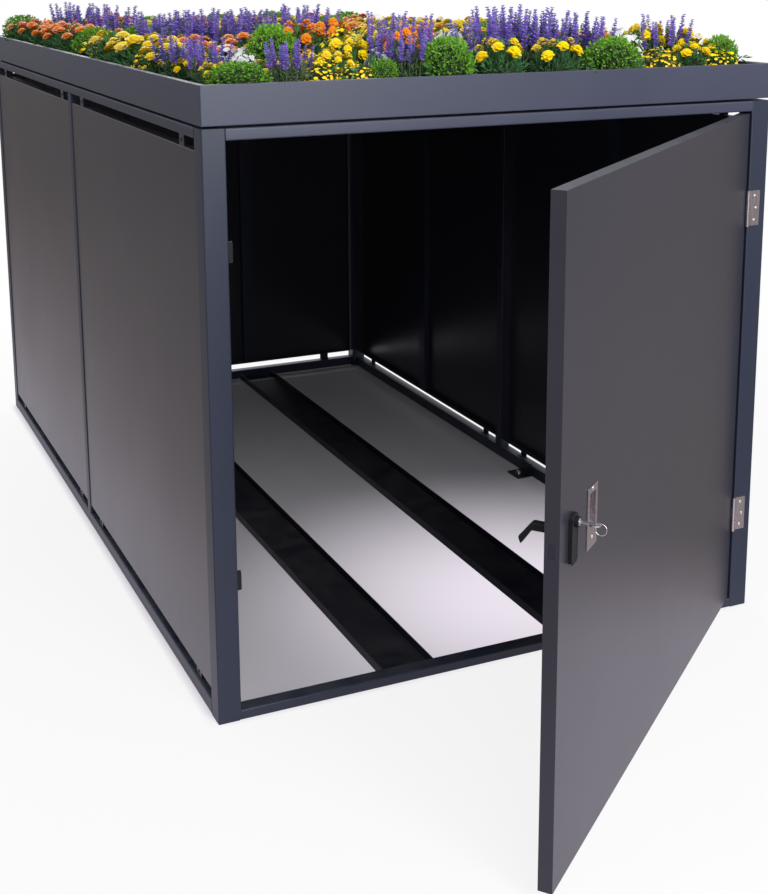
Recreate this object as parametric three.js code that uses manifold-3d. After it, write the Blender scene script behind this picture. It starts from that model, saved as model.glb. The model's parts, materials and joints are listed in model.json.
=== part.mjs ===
// A bicycle locker: a low steel box for two bicycles, with one hinged door at the front
// and a planted tray as its roof. Millimetres, +Z up, the front faces -Y.
// The origin is the middle of the front sill's underside.

import * as THREE from 'three';
import { mergeVertices } from 'three/addons/utils/BufferGeometryUtils.js';
import Module from 'manifold-3d';

const wasm = await Module();
wasm.setup();

// Overall size, measured over the posts
const lockerWidth = 1240;
const lockerDepth = 2200;
const postHeight = 1135;
const roofGap = 5;
const trayHeight = 72;

// Steel frame
const postSide = 45;
const frameWall = 2;
const midPostWidth = 32;
const railDepth = 30;
const topRailHeight = 20;
const bottomRailHeight = 30;
const sillHeight = 20;
const sillDepth = 34;
const lintelHeight = 22;
const lintelDepth = 30;
const capThickness = 2;

// Gaps between pieces, and how far a cut runs past the face it goes through
const seam = 0.3;
const overrun = 1;

// Wall panels, their stiffeners and the tabs that hold them in the ventilation slots
const ventSlot = 22;
const panelSheet = 1.5;
const panelReturn = 22;
const panelRecess = 2;
const panelSideGap = 3;
const stiffenerWidth = 40;
const stiffenerDepth = 16;
const tabLength = 30;
const tabDepth = 12;
const tabSheet = 2;
const tabRecess = 4;
const tabInset = 95;
const rearRibShare = 1 / 3;

// Wheel channels and ground anchors
const channelWidth = 115;
const channelSpacing = 414;
const channelHeight = 20;
const channelSheet = 2;
const anchorFoot = 45;
const anchorUpright = 36;
const anchorLength = 60;
const anchorSheet = 4;
const anchorFromMiddle = 170;

// Roof: beams, tray, mat, substrate
const beamWidth = 40;
const beamShares = [0.03, 0.5, 0.97];
const traySheet = 2;
const rimFold = 14;
const drainRadius = 8;
const drainInset = 60;
const matThickness = 10;
const soilBelowRim = 22;
const bedGap = 2;

// Planting: a low carpet of leaves with mounds and flower spikes in it
const carpetHeight = 16;
const clumpRadius = 92;
const clumpWander = 5;
const clumpColumns = 6;
const clumpRows = 11;
const shrubHeight = 96;
const marigoldHeight = 92;
const whiteHeight = 62;
const lavenderHeight = 66;
const spikeRadius = 11;
const spikeHeight = 128;
const spikeRingRadius = 48;
const spikeCount = 5;

// Door leaf
const doorThickness = 24;
const doorSheet = 1.5;
const doorHingeGap = 5;
const doorFreeGap = 4;
const doorTopGap = 4;
const doorBottomGap = 4;
const doorOpenDegrees = 39;
const doorStiffenerWidth = 40;
const doorStiffenerShares = [0.35, 0.68];

// Hinges
const hingeHeight = 75;
const hingeHeightShares = [0.196, 0.8];
const hingeLeaf = 2;
const postLeafWidth = 28;
const doorLeafWidth = 17;
const knuckleRadius = 4.5;
const pinRadius = 2.2;
const pinHeadRadius = 3.6;
const pinHeadHeight = 1.2;
const axisInset = 4;
const hingeScrewSpacing = 26;
const hingeScrewZigzag = 4;
const hingeScrewShare = 0.62;

// Lock, seen from the door's free edge and the ground
const lockFromEdge = 50;
const lockHeight = 611;
const escutcheonWidth = 26;
const escutcheonHeight = 76;
const escutcheonThickness = 6;
const escutcheonRound = 9;
const escutcheonDrop = 25.5;
const cylinderRadius = 8.5;
const cylinderProud = 7;
const cylinderLength = 28;
const plugRadius = 6;
const keywayHeight = 2.6;
const keywayWidth = 8.6;
const keywayDepth = 24;
const camWidth = 6;
const camReach = 16;
const camThickness = 2.5;
const lockCaseWidth = 88;
const lockCaseHeight = 112;
const lockCaseWall = 2;
const boltLength = 50;
const boltHeight = 24;
const boltThickness = 10;
const boltDrop = 32;
const strikeMargin = 2;

// Key and key ring
const bladeLength = 22;
const bladeWidth = 8;
const bladeThickness = 2;
const bowRadius = 9;
const bowThickness = 2;
const bowStandoff = 14;
const bowHoleRadius = 3.5;
const bowRim = 2;
const ringRadius = 9;
const ringWire = 0.8;
const ringDrop = 6.5;
const ringLean = 0.5;

// Inner lever
const roseRadius = 16;
const roseThickness = 4;
const spindleRadius = 4;
const leverHubRadius = 9;
const leverHubLength = 9;
const leverBelowLock = 18;
const spindleEntry = 1;
const leverReach = 53;
const leverDrop = 26;
const leverTipReach = 21;
const leverWidth = 16;
const leverThickness = 13;

// Flush pull
const pullFromEdge = 144;
const pullHeightAboveGround = 584;
const pullWidth = 46;
const pullHeight = 100;
const pullSheet = 1.5;
const cupWidth = 31;
const cupHeight = 58;
const cupDepth = 14;
const cupTopMargin = 9;

// Door stops on the left post
const stopHeightShares = [0.24, 0.8];
const stopReach = 16;
const stopHeight = 40;
const stopSheet = 3;
const bufferThickness = 3;
const bufferMargin = 3;
const bufferGap = 0.5;

// Holes for screws and ground bolts
const screwHoleRadius = 2.1;
const anchorHoleRadius = 5;

// How many sides round shapes have
const fineSides = 20;
const roundSides = 12;
const screwSides = 8;
const domeSides = 8;
const spikeSides = 4;
const ringSides = 24;
const wireSides = 6;

// Places worked out from the sizes above
const halfWidth = lockerWidth / 2;
const innerX = halfWidth - postSide;
const frontY = -sillDepth / 2;
const rearY = frontY + lockerDepth;
const middleY = (frontY + rearY) / 2;
const topRailBottom = postHeight - topRailHeight;
const panelBottom = bottomRailHeight + ventSlot;
const panelTop = topRailBottom - ventSlot;
const trayBottom = postHeight + roofGap;
const trayTop = trayBottom + trayHeight;
const soilTop = trayTop - soilBelowRim;
const axisProud = knuckleRadius + seam;
const axisX = innerX - axisInset;
const axisY = frontY - axisProud;
const doorEdgeX = axisInset - doorHingeGap;
const doorWidth = 2 * innerX - doorHingeGap - doorFreeGap;
const freeX = doorEdgeX - doorWidth;
const doorFaceY = axisProud;
const doorBackY = doorFaceY + doorThickness;
const doorBottom = sillHeight + doorBottomGap;
const doorTop = postHeight - lintelHeight - doorTopGap;
const lockX = freeX + lockFromEdge;
const leverZ = lockHeight - leverBelowLock;
const caseFrontY = doorFaceY + doorSheet + seam;
const caseBackY = doorBackY - doorSheet - seam;
const cylinderFrontY = doorFaceY - seam - escutcheonThickness - cylinderProud;
const cylinderBackY = cylinderFrontY + cylinderLength;

// Finishes
const anthracite = { color: 0x2b323d, roughness: 0.42, metalness: 0.3 };
const anthraciteSheet = { color: 0x35353c, roughness: 0.4, metalness: 0.3 };
const darkSteel = { color: 0x1d2026, roughness: 0.5, metalness: 0.4 };
const stainless = { color: 0xb8b4b0, roughness: 0.3, metalness: 1 };
const zincSteel = { color: 0xc2c4c8, roughness: 0.35, metalness: 1 };
const blackPlastic = { color: 0x17181b, roughness: 0.45, metalness: 0 };
const rubber = { color: 0x101113, roughness: 0.8, metalness: 0 };
const soil = { color: 0x2a1d14, roughness: 0.95, metalness: 0 };
const matBlack = { color: 0x24262a, roughness: 0.85, metalness: 0 };
const leafGreen = { color: 0x3f8f2a, roughness: 0.7, metalness: 0 };

const locker = new THREE.Group();
const doorLeaf = new THREE.Group();
doorLeaf.position.set(axisX, axisY, 0);
doorLeaf.rotation.z = THREE.MathUtils.degToRad(doorOpenDegrees);
locker.add(doorLeaf);

// Turns a closed three.js geometry into a solid that can be joined and cut
function solidFrom(geometry) {
  geometry.deleteAttribute('normal');
  geometry.deleteAttribute('uv');
  const welded = mergeVertices(geometry);
  const corners = welded.index.array;
  const kept = [];
  for (let i = 0; i < corners.length; i += 3) {
    const [a, b, c] = [corners[i], corners[i + 1], corners[i + 2]];
    if (a !== b && b !== c && c !== a) kept.push(a, b, c);
  }
  return new wasm.Manifold(new wasm.Mesh({
    numProp: 3,
    vertProperties: new Float32Array(welded.attributes.position.array),
    triVerts: new Uint32Array(kept),
  }));
}

// Adds a solid to a group as a named mesh
function addPiece(group, name, solid, finish) {
  const mesh = solid.getMesh();
  const geometry = new THREE.BufferGeometry();
  geometry.setAttribute('position', new THREE.BufferAttribute(new Float32Array(mesh.vertProperties), 3));
  geometry.setIndex(new THREE.BufferAttribute(new Uint32Array(mesh.triVerts), 1));
  geometry.computeVertexNormals();
  const piece = new THREE.Mesh(geometry, new THREE.MeshStandardMaterial(finish));
  piece.name = name;
  group.add(piece);
}

function joined(solids) {
  return solids.reduce((sum, solid) => sum.add(solid));
}

function span(a, b) {
  return [Math.min(a, b), Math.max(a, b)];
}

function around(middle, size) {
  return [middle - size / 2, middle + size / 2];
}

function shareOf([low, high], share) {
  return low + (high - low) * share;
}

function block(xSpan, ySpan, zSpan) {
  const spans = [xSpan, ySpan, zSpan];
  const geometry = new THREE.BoxGeometry(...spans.map(([low, high]) => high - low));
  geometry.translate(...spans.map(([low, high]) => (low + high) / 2));
  return solidFrom(geometry);
}

// A round bar along axis 0, 1 or 2; spot holds its place on the other two axes
function rod(axis, radius, along, spot, sides = roundSides) {
  const geometry = new THREE.CylinderGeometry(radius, radius, along[1] - along[0], sides);
  if (axis === 0) geometry.rotateZ(Math.PI / 2);
  if (axis === 2) geometry.rotateX(Math.PI / 2);
  const middle = [...spot];
  middle.splice(axis, 0, (along[0] + along[1]) / 2);
  geometry.translate(...middle);
  return solidFrom(geometry);
}

// A square tube, open at both ends along one axis
function tube(spans, along) {
  const hollow = spans.map(([low, high], axis) => (
    axis === along ? [low - overrun, high + overrun] : [low + frameWall, high - frameWall]));
  return block(...spans).subtract(block(...hollow));
}

// Folded sheet: a tray open towards one side, or a channel when its ends are open along an axis
function folded(spans, sheet, openAxis, openTowards, along) {
  const hollow = spans.map(([low, high], axis) => {
    if (axis === along) return [low - overrun, high + overrun];
    if (axis !== openAxis) return [low + sheet, high - sheet];
    return openTowards > 0 ? [low + sheet, high + overrun] : [low - overrun, high - sheet];
  });
  return block(...spans).subtract(block(...hollow));
}

// A round hole for a screw through a sheet whose two faces lie at the ends of a span
function screwHole(axis, faces, spot, radius = screwHoleRadius) {
  return rod(axis, radius, [faces[0] - overrun, faces[1] + overrun], spot, screwSides);
}

// The two places of the hinges and their screw holes, shared by the posts, the leaves and the door
const hingeMiddles = hingeHeightShares.map((share) => postHeight * share);

function hingeScrewSpots(middleZ, start, width) {
  const across = start + width * hingeScrewShare;
  return [
    [across - hingeScrewZigzag / 2, middleZ - hingeScrewSpacing],
    [across + hingeScrewZigzag / 2, middleZ],
    [across - hingeScrewZigzag / 2, middleZ + hingeScrewSpacing],
  ];
}

const postLeafStart = knuckleRadius + seam;
const postLeafEnd = axisInset + postLeafWidth;
const postScrewSpots = hingeMiddles.flatMap((z) => hingeScrewSpots(z, axisInset, postLeafWidth)
  .map(([x, height]) => [axisX + x, height]));
const doorScrewSpots = hingeMiddles.flatMap((z) => hingeScrewSpots(z, axisProud, doorLeafWidth));

// A corner post is closed by a welded cap and open at its foot
function cornerPost(side, ySpan) {
  const xSpan = span(side * innerX, side * halfWidth);
  const shell = tube([xSpan, ySpan, [0, postHeight]], 2);
  return shell.add(block(xSpan, ySpan, [postHeight - capThickness, postHeight]));
}

const frontSpan = [frontY, frontY + postSide];
const rearSpan = [rearY - postSide, rearY];

function strikeHole() {
  const doorMiddleY = frontY + doorThickness / 2;
  return block([-innerX - frameWall - overrun, -innerX + overrun],
    around(doorMiddleY, boltThickness + 2 * strikeMargin),
    around(lockHeight - boltDrop, boltHeight + 2 * strikeMargin));
}

function addPosts() {
  const hingeHoles = joined(postScrewSpots.map((spot) => screwHole(1, [frontY, frontY + frameWall], spot)));
  addPiece(locker, 'post_front_left', cornerPost(-1, frontSpan).subtract(strikeHole()), anthracite);
  addPiece(locker, 'post_front_right', cornerPost(1, frontSpan).subtract(hingeHoles), anthracite);
  addPiece(locker, 'post_rear_left', cornerPost(-1, rearSpan), anthracite);
  addPiece(locker, 'post_rear_right', cornerPost(1, rearSpan), anthracite);
}

// Rails run between the posts; the side rails carry the middle posts
const acrossSpan = [-innerX + seam, innerX - seam];
const alongSpan = [frontY + postSide + seam, rearY - postSide - seam];

function addRails() {
  const bottomSpan = [0, bottomRailHeight];
  const topSpan = [topRailBottom, postHeight];
  const rearRailSpan = [rearY - railDepth, rearY];
  const sillSpans = [acrossSpan, [frontY, frontY + sillDepth], [0, sillHeight]];
  addPiece(locker, 'front_sill', tube(sillSpans, 0), anthracite);
  addPiece(locker, 'front_lintel', tube([acrossSpan, [frontY, frontY + lintelDepth],
    [postHeight - lintelHeight, postHeight]], 0), anthracite);
  addPiece(locker, 'rear_bottom_rail', tube([acrossSpan, rearRailSpan, bottomSpan], 0), anthracite);
  addPiece(locker, 'rear_top_rail', tube([acrossSpan, rearRailSpan, topSpan], 0), anthracite);
  for (const [side, word] of [[-1, 'left'], [1, 'right']]) {
    const xSpan = span(side * halfWidth, side * (halfWidth - railDepth));
    addPiece(locker, `${word}_bottom_rail`, tube([xSpan, alongSpan, bottomSpan], 1), anthracite);
    addPiece(locker, `${word}_top_rail`, tube([xSpan, alongSpan, topSpan], 1), anthracite);
  }
}

const midPostSpan = [bottomRailHeight + seam, topRailBottom - seam];

function addMidPosts() {
  for (const [side, word] of [[-1, 'left'], [1, 'right']]) {
    const xSpan = span(side * halfWidth, side * (halfWidth - railDepth));
    const ySpan = around(middleY, midPostWidth);
    addPiece(locker, `mid_post_${word}`, tube([xSpan, ySpan, midPostSpan], 2), anthracite);
  }
}

// Wall panels: each bay is the space between two posts
const panelZ = [panelBottom, panelTop];
const sideBays = {
  front: [frontY + postSide + panelSideGap, middleY - midPostWidth / 2 - panelSideGap],
  rear: [middleY + midPostWidth / 2 + panelSideGap, rearY - postSide - panelSideGap],
};
const rearBay = [-innerX + panelSideGap, innerX - panelSideGap];

function panelDepthSpan(outerFace, outward) {
  const face = outerFace - outward * panelRecess;
  return span(face, face - outward * panelReturn);
}

// The stiffener is a channel that stands against the sheet, between the pan's folded edges
function stiffenerSpans(outerFace, outward, middle, axis) {
  const sheetBack = outerFace - outward * (panelRecess + panelSheet + seam);
  const depth = span(sheetBack, sheetBack - outward * stiffenerDepth);
  const width = around(middle, stiffenerWidth);
  const height = [panelBottom + panelSheet + seam, panelTop - panelSheet - seam];
  return axis === 0 ? [depth, width, height] : [width, depth, height];
}

// A tab is a small channel that bridges a ventilation slot and meets the rail
function slotTabs(outerFace, outward, [start, end], axis) {
  const web = outerFace - outward * (panelRecess + tabRecess);
  const depth = span(web, web - outward * tabDepth);
  const lowerSlot = [bottomRailHeight + seam, panelBottom + panelSheet];
  const upperSlot = [panelTop - panelSheet, topRailBottom - seam];
  const slots = [lowerSlot, upperSlot];
  const tabs = slots.flatMap((slot) => [start + tabInset, end - tabInset].map((middle) => {
    const length = around(middle, tabLength);
    const spans = axis === 0 ? [depth, length, slot] : [length, depth, slot];
    const hole = screwHole(axis, span(web, web - outward * tabSheet), [middle, (slot[0] + slot[1]) / 2]);
    return folded(spans, tabSheet, axis, -outward, 1 - axis).subtract(hole);
  }));
  return joined(tabs);
}

function addSidePanels() {
  for (const [side, word] of [[-1, 'left'], [1, 'right']]) {
    for (const [place, bay] of Object.entries(sideBays)) {
      const pan = folded([panelDepthSpan(side * halfWidth, side), bay, panelZ], panelSheet, 0, -side);
      const tabs = slotTabs(side * halfWidth, side, bay, 0);
      addPiece(locker, `panel_${word}_${place}`, pan.add(tabs), anthraciteSheet);
      const spans = stiffenerSpans(side * halfWidth, side, (bay[0] + bay[1]) / 2, 0);
      addPiece(locker, `stiffener_${word}_${place}`, folded(spans, panelSheet, 0, side, 2), anthracite);
    }
  }
}

function addRearPanel() {
  const pan = folded([rearBay, panelDepthSpan(rearY, 1), panelZ], panelSheet, 1, -1);
  addPiece(locker, 'panel_rear', pan.add(slotTabs(rearY, 1, rearBay, 1)), anthraciteSheet);
  for (const [share, word] of [[rearRibShare, 'left'], [1 - rearRibShare, 'right']]) {
    const spans = stiffenerSpans(rearY, 1, shareOf(rearBay, share), 1);
    addPiece(locker, `rear_rib_${word}`, folded(spans, panelSheet, 1, 1, 2), anthracite);
  }
}

// Wheel channels lie on the ground from the sill to the rear rail
function addWheelChannels() {
  const ySpan = [frontY + sillDepth + seam, rearY - railDepth - seam];
  for (const [side, word] of [[-1, 'left'], [1, 'right']]) {
    const spans = [around(side * channelSpacing / 2, channelWidth), ySpan, [0, channelHeight]];
    addPiece(locker, `wheel_channel_${word}`, folded(spans, channelSheet, 2, 1, 1), darkSteel);
  }
}

// An angle inside each bottom side rail holds the locker to the ground
function addAnchors() {
  for (const [side, word] of [[-1, 'left'], [1, 'right']]) {
    const railFace = side * (halfWidth - railDepth - seam);
    const y = middleY - anchorFromMiddle;
    const ySpan = around(y, anchorLength);
    const foot = block(span(railFace, railFace - side * anchorFoot), ySpan, [0, anchorSheet]);
    const upright = block(span(railFace, railFace - side * anchorSheet), ySpan, [0, anchorUpright]);
    const spot = [railFace - side * (anchorFoot + anchorSheet) / 2, y];
    const angle = foot.add(upright).subtract(screwHole(2, [0, anchorSheet], spot, anchorHoleRadius));
    addPiece(locker, `anchor_angle_${word}`, angle, darkSteel);
  }
}

// Roof beams rest between the side rails and carry the tray clear of the frame
function addRoofBeams() {
  const xSpan = [-halfWidth + railDepth + seam, halfWidth - railDepth - seam];
  const clearSpan = [frontY + postSide, rearY - postSide];
  beamShares.forEach((share, index) => {
    const ySpan = around(shareOf(clearSpan, share), beamWidth);
    const beam = tube([xSpan, ySpan, [topRailBottom, trayBottom - seam]], 0);
    addPiece(locker, `roof_beam_${index + 1}`, beam, anthracite);
  });
}

function addRoofTray() {
  const xSpan = [-halfWidth, halfWidth];
  const ySpan = [frontY, rearY];
  const rimSpan = [trayTop - traySheet, trayTop];
  const rimHole = block([xSpan[0] + rimFold, xSpan[1] - rimFold], [ySpan[0] + rimFold, ySpan[1] - rimFold],
    [rimSpan[0] - overrun, rimSpan[1] + overrun]);
  const rim = block(xSpan, ySpan, rimSpan).subtract(rimHole);
  const drainSpan = [trayBottom - overrun, trayBottom + traySheet + overrun];
  const drains = joined([-1, 1].map((side) => rod(2, drainRadius, drainSpan,
    [side * (halfWidth - drainInset), rearY - drainInset])));
  const tray = folded([xSpan, ySpan, [trayBottom, trayTop]], traySheet, 2, 1).add(rim).subtract(drains);
  addPiece(locker, 'roof_tray', tray, anthracite);
}

function addBed() {
  const inset = traySheet + bedGap;
  const xSpan = [-halfWidth + inset, halfWidth - inset];
  const ySpan = [frontY + inset, rearY - inset];
  const matBottom = trayBottom + traySheet + seam;
  const matTop = matBottom + matThickness;
  addPiece(locker, 'drainage_mat', block(xSpan, ySpan, [matBottom, matTop]), matBlack);
  addPiece(locker, 'substrate', block(xSpan, ySpan, [matTop + seam, soilTop]), soil);
}

// Planting plan, one word per row from front to rear, one letter per clump from left to right:
// s box shrub, y yellow marigold, o orange marigold, l lavender, w small white flowers
const plantingPlan = [
  'slysys', 'ywlyoy', 'lolysl', 'yswlyo', 'oyslws', 'sywoly',
  'yolsyw', 'lsoylo', 'yoswys', 'slyols', 'oyswyo'];

// A rounded mound on a flat foot; the shares follow its radius and height
const domeShares = [[0, 0], [1, 0], [1, 0.35], [0.72, 0.82], [0, 1]];

function dome(radius, height) {
  const outline = domeShares.map(([r, h]) => new THREE.Vector2(r * radius, h * height));
  const geometry = new THREE.LatheGeometry(outline, domeSides);
  geometry.rotateX(Math.PI / 2);
  return solidFrom(geometry);
}

function lavenderClump() {
  const spikes = [];
  for (let i = 0; i < spikeCount; i += 1) {
    const turn = (i / spikeCount) * 2 * Math.PI;
    const spike = new THREE.CylinderGeometry(spikeRadius / 3, spikeRadius, spikeHeight, spikeSides);
    spike.rotateX(Math.PI / 2);
    const reach = i % 2 ? spikeRingRadius : spikeRingRadius / 2;
    spike.translate(reach * Math.cos(turn), reach * Math.sin(turn), spikeHeight / 2 + spikeRadius);
    spikes.push(solidFrom(spike));
  }
  return joined([dome(clumpRadius, lavenderHeight), ...spikes]);
}

// A small steady wander, so that the clumps don't stand in lines
function wander(row, column, turn) {
  return clumpWander * Math.sin(row * 12.9 + column * 78.2 + turn * 37.7);
}

function addPlanting() {
  const mounds = {
    s: dome(clumpRadius, shrubHeight),
    y: dome(clumpRadius, marigoldHeight),
    o: dome(clumpRadius, marigoldHeight),
    l: lavenderClump(),
    w: dome(clumpRadius, whiteHeight),
  };
  const inset = traySheet + bedGap;
  const foot = soilTop + seam;
  let planting = block([-halfWidth + inset, halfWidth - inset], [frontY + inset, rearY - inset],
    [foot, foot + carpetHeight]);
  const xSpan = [-halfWidth + rimFold, halfWidth - rimFold];
  const ySpan = [frontY + rimFold, rearY - rimFold];
  plantingPlan.forEach((letters, row) => {
    [...letters].forEach((letter, column) => {
      const x = shareOf(xSpan, (column + 0.5) / clumpColumns) + wander(row, column, 0);
      const y = shareOf(ySpan, (row + 0.5) / clumpRows) + wander(row, column, 1);
      planting = planting.add(mounds[letter].translate([x, y, foot + carpetHeight / 2]));
    });
  });
  addPiece(locker, 'planting', planting, leafGreen);
}

// Door stops: tabs on the left post that the closed door meets
function addDoorStops() {
  const tabX = [-innerX + seam, -innerX + stopReach];
  const bufferFront = frontY + doorThickness + bufferGap;
  const tabFront = bufferFront + bufferThickness + seam;
  stopHeightShares.forEach((share, index) => {
    const place = index ? 'upper' : 'lower';
    const z = postHeight * share;
    const tab = block(tabX, [tabFront, tabFront + stopSheet], around(z, stopHeight));
    addPiece(locker, `stop_tab_${place}`, tab, darkSteel);
    addPiece(locker, `stop_buffer_${place}`, block([tabX[0] + bufferMargin, tabX[1]],
      [bufferFront, bufferFront + bufferThickness], around(z, stopHeight - 2 * bufferMargin)), rubber);
  });
}

// Hinges: two knuckles belong to the post leaf, the middle one to the door leaf
const knuckleHeight = hingeHeight / 3;

function knuckle(axisSpot, zSpan) {
  const bore = rod(2, pinRadius + seam, [zSpan[0] - overrun, zSpan[1] + overrun], axisSpot);
  return [rod(2, knuckleRadius, zSpan, axisSpot), bore];
}

function postLeaf(middleZ) {
  const ySpan = [frontY - seam - hingeLeaf, frontY - seam];
  const [low, high] = around(middleZ, hingeHeight);
  const ends = [[low, low + knuckleHeight], [high - knuckleHeight, high]];
  let leaf = block([axisX + postLeafStart, axisX + postLeafEnd], ySpan, [low, high]);
  const knuckles = ends.map((zSpan) => knuckle([axisX, axisY], zSpan));
  for (const zSpan of ends) leaf = leaf.add(block([axisX, axisX + postLeafStart + overrun], ySpan, zSpan));
  leaf = joined([leaf, ...knuckles.map(([barrel]) => barrel)]);
  for (const [, bore] of knuckles) leaf = leaf.subtract(bore);
  return leaf;
}

const hingePlaces = ['lower', 'upper'];

function addPostLeaves() {
  const leafFaces = [frontY - seam - hingeLeaf, frontY - seam];
  const holes = joined(postScrewSpots.map((spot) => screwHole(1, leafFaces, spot)));
  hingePlaces.forEach((place, index) => {
    const [low, high] = around(hingeMiddles[index], hingeHeight);
    addPiece(locker, `hinge_${place}_post_leaf`, postLeaf(hingeMiddles[index]).subtract(holes), stainless);
    const pinSpan = [low - seam - pinHeadHeight / 2, high + seam + pinHeadHeight / 2];
    const pin = rod(2, pinRadius, pinSpan, [axisX, axisY]);
    const foot = rod(2, pinHeadRadius, [low - seam - pinHeadHeight, low - seam], [axisX, axisY]);
    const head = rod(2, pinHeadRadius, [high + seam, high + seam + pinHeadHeight], [axisX, axisY]);
    addPiece(locker, `hinge_${place}_pin`, joined([pin, foot, head]), stainless);
  });
}

// Door pieces: their places are counted from the hinge axis, with the door closed
const doorLeafX = [doorEdgeX + seam, doorEdgeX + seam + hingeLeaf];

function oneDoorLeaf(middleZ) {
  const [low, high] = around(middleZ, hingeHeight);
  const middle = [low + knuckleHeight + seam, high - knuckleHeight - seam];
  const [barrel, bore] = knuckle([0, 0], middle);
  const plate = block(doorLeafX, [axisProud + seam, axisProud + doorLeafWidth], [low, high]);
  const root = block(doorLeafX, [0, axisProud + seam + overrun], middle);
  return joined([plate, root, barrel]).subtract(bore);
}

function addDoorLeaves() {
  const holes = joined(doorScrewSpots.map((spot) => screwHole(0, doorLeafX, spot)));
  hingePlaces.forEach((place, index) => {
    const leaf = oneDoorLeaf(hingeMiddles[index]).subtract(holes);
    addPiece(doorLeaf, `hinge_${place}_door_leaf`, leaf, stainless);
  });
}

const boltY = around(doorFaceY + doorThickness / 2, boltThickness);
const boltZ = around(lockHeight - boltDrop, boltHeight);
const boltSlot = block([freeX - overrun, freeX + doorSheet + seam + lockCaseWall + overrun],
  [boltY[0] - seam, boltY[1] + seam], [boltZ[0] - seam, boltZ[1] + seam]);
const cupX = around(freeX + pullFromEdge, cupWidth);
const pullZ = around(pullHeightAboveGround, pullHeight);
const cupZ = [pullZ[1] - cupTopMargin - cupHeight, pullZ[1] - cupTopMargin];
const pullScrewSpots = [
  [freeX + pullFromEdge, (pullZ[0] + cupZ[0]) / 2],
  [freeX + pullFromEdge, (pullZ[1] + cupZ[1]) / 2],
];

function addDoorShell() {
  const edgeSpan = [doorEdgeX - doorSheet, doorEdgeX];
  const hingeHoles = joined(doorScrewSpots.map((spot) => screwHole(0, edgeSpan, spot)));
  const throughFace = [doorFaceY - overrun, doorFaceY + doorSheet + overrun];
  const cylinderHole = rod(1, cylinderRadius + seam, throughFace, [lockX, lockHeight], fineSides);
  const cupHole = block([cupX[0] - seam, cupX[1] + seam], throughFace, [cupZ[0] - seam, cupZ[1] + seam]);
  const faceSpan = [doorFaceY, doorFaceY + doorSheet];
  const pullHoles = joined(pullScrewSpots.map((spot) => screwHole(1, faceSpan, spot)));
  const spans = [[freeX, doorEdgeX], [doorFaceY, doorBackY], [doorBottom, doorTop]];
  const skin = folded(spans, doorSheet, 1, 1).subtract(joined([hingeHoles, cylinderHole, cupHole, pullHoles]))
    .subtract(boltSlot);
  addPiece(doorLeaf, 'door_outer_skin', skin, anthraciteSheet);

  const inset = doorSheet + seam;
  const spindleHole = rod(1, spindleRadius + seam, [doorBackY - doorSheet - overrun, doorBackY + overrun],
    [lockX, leverZ]);
  const sheet = block([freeX + inset, doorEdgeX - inset], [doorBackY - doorSheet, doorBackY],
    [doorBottom + inset, doorTop - inset]);
  addPiece(doorLeaf, 'door_inner_sheet', sheet.subtract(spindleHole), anthraciteSheet);

  doorStiffenerShares.forEach((share, index) => {
    const spans = [around(shareOf([freeX, doorEdgeX], share), doorStiffenerWidth),
      [doorFaceY + inset, doorBackY - inset], [doorBottom + inset, doorTop - inset]];
    addPiece(doorLeaf, `door_stiffener_${index + 1}`, folded(spans, doorSheet, 1, 1, 2), anthracite);
  });
}

function roundedPlate(width, height, round, thickness) {
  const shape = new THREE.Shape();
  const [w, h] = [width / 2 - round, height / 2 - round];
  const corners = [[w, h, 0], [-w, h, 1], [-w, -h, 2], [w, -h, 3]];
  for (const [x, y, quarter] of corners) {
    shape.absarc(x, y, round, quarter * Math.PI / 2, (quarter + 1) * Math.PI / 2);
  }
  return new THREE.ExtrudeGeometry(shape, { depth: thickness, bevelEnabled: false, curveSegments: 4 });
}

// A flat plate that stands on the door's face
function plateOnDoor(geometry, x, z) {
  geometry.rotateX(Math.PI / 2);
  geometry.translate(x, doorFaceY - seam, z);
  return solidFrom(geometry);
}

function addFlushPull() {
  const cupOuter = block(cupX, [doorFaceY - seam - pullSheet / 2, doorFaceY + cupDepth], cupZ);
  const cupHollow = block([cupX[0] + pullSheet, cupX[1] - pullSheet],
    [doorFaceY - seam - pullSheet - overrun, doorFaceY + cupDepth - pullSheet],
    [cupZ[0] + pullSheet, cupZ[1] - pullSheet]);
  const plate = plateOnDoor(roundedPlate(pullWidth, pullHeight, pullSheet, pullSheet),
    freeX + pullFromEdge, pullHeightAboveGround);
  const faces = [doorFaceY - seam - pullSheet, doorFaceY - seam];
  const holes = joined(pullScrewSpots.map((spot) => screwHole(1, faces, spot)));
  addPiece(doorLeaf, 'flush_pull', plate.add(cupOuter).subtract(cupHollow).subtract(holes), stainless);
}

function addLockCase() {
  const spans = [
    [freeX + doorSheet + seam, freeX + doorSheet + seam + lockCaseWidth],
    [caseFrontY, caseBackY],
    around(lockHeight - boltDrop / 2, lockCaseHeight)];
  const hollow = spans.map(([low, high]) => [low + lockCaseWall, high - lockCaseWall]);
  const throughFront = [caseFrontY - overrun, caseFrontY + lockCaseWall + overrun];
  const cylinderHole = rod(1, cylinderRadius + seam, throughFront, [lockX, lockHeight], fineSides);
  const throughBack = [caseBackY - lockCaseWall - overrun, caseBackY + overrun];
  const spindleHole = rod(1, spindleRadius + seam, throughBack, [lockX, leverZ]);
  const box = block(...spans).subtract(block(...hollow)).subtract(cylinderHole).subtract(spindleHole);
  addPiece(doorLeaf, 'lock_case', box.subtract(boltSlot), zincSteel);
  addPiece(doorLeaf, 'lock_bolt', block([freeX, freeX + boltLength], boltY, boltZ), darkSteel);
}

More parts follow.
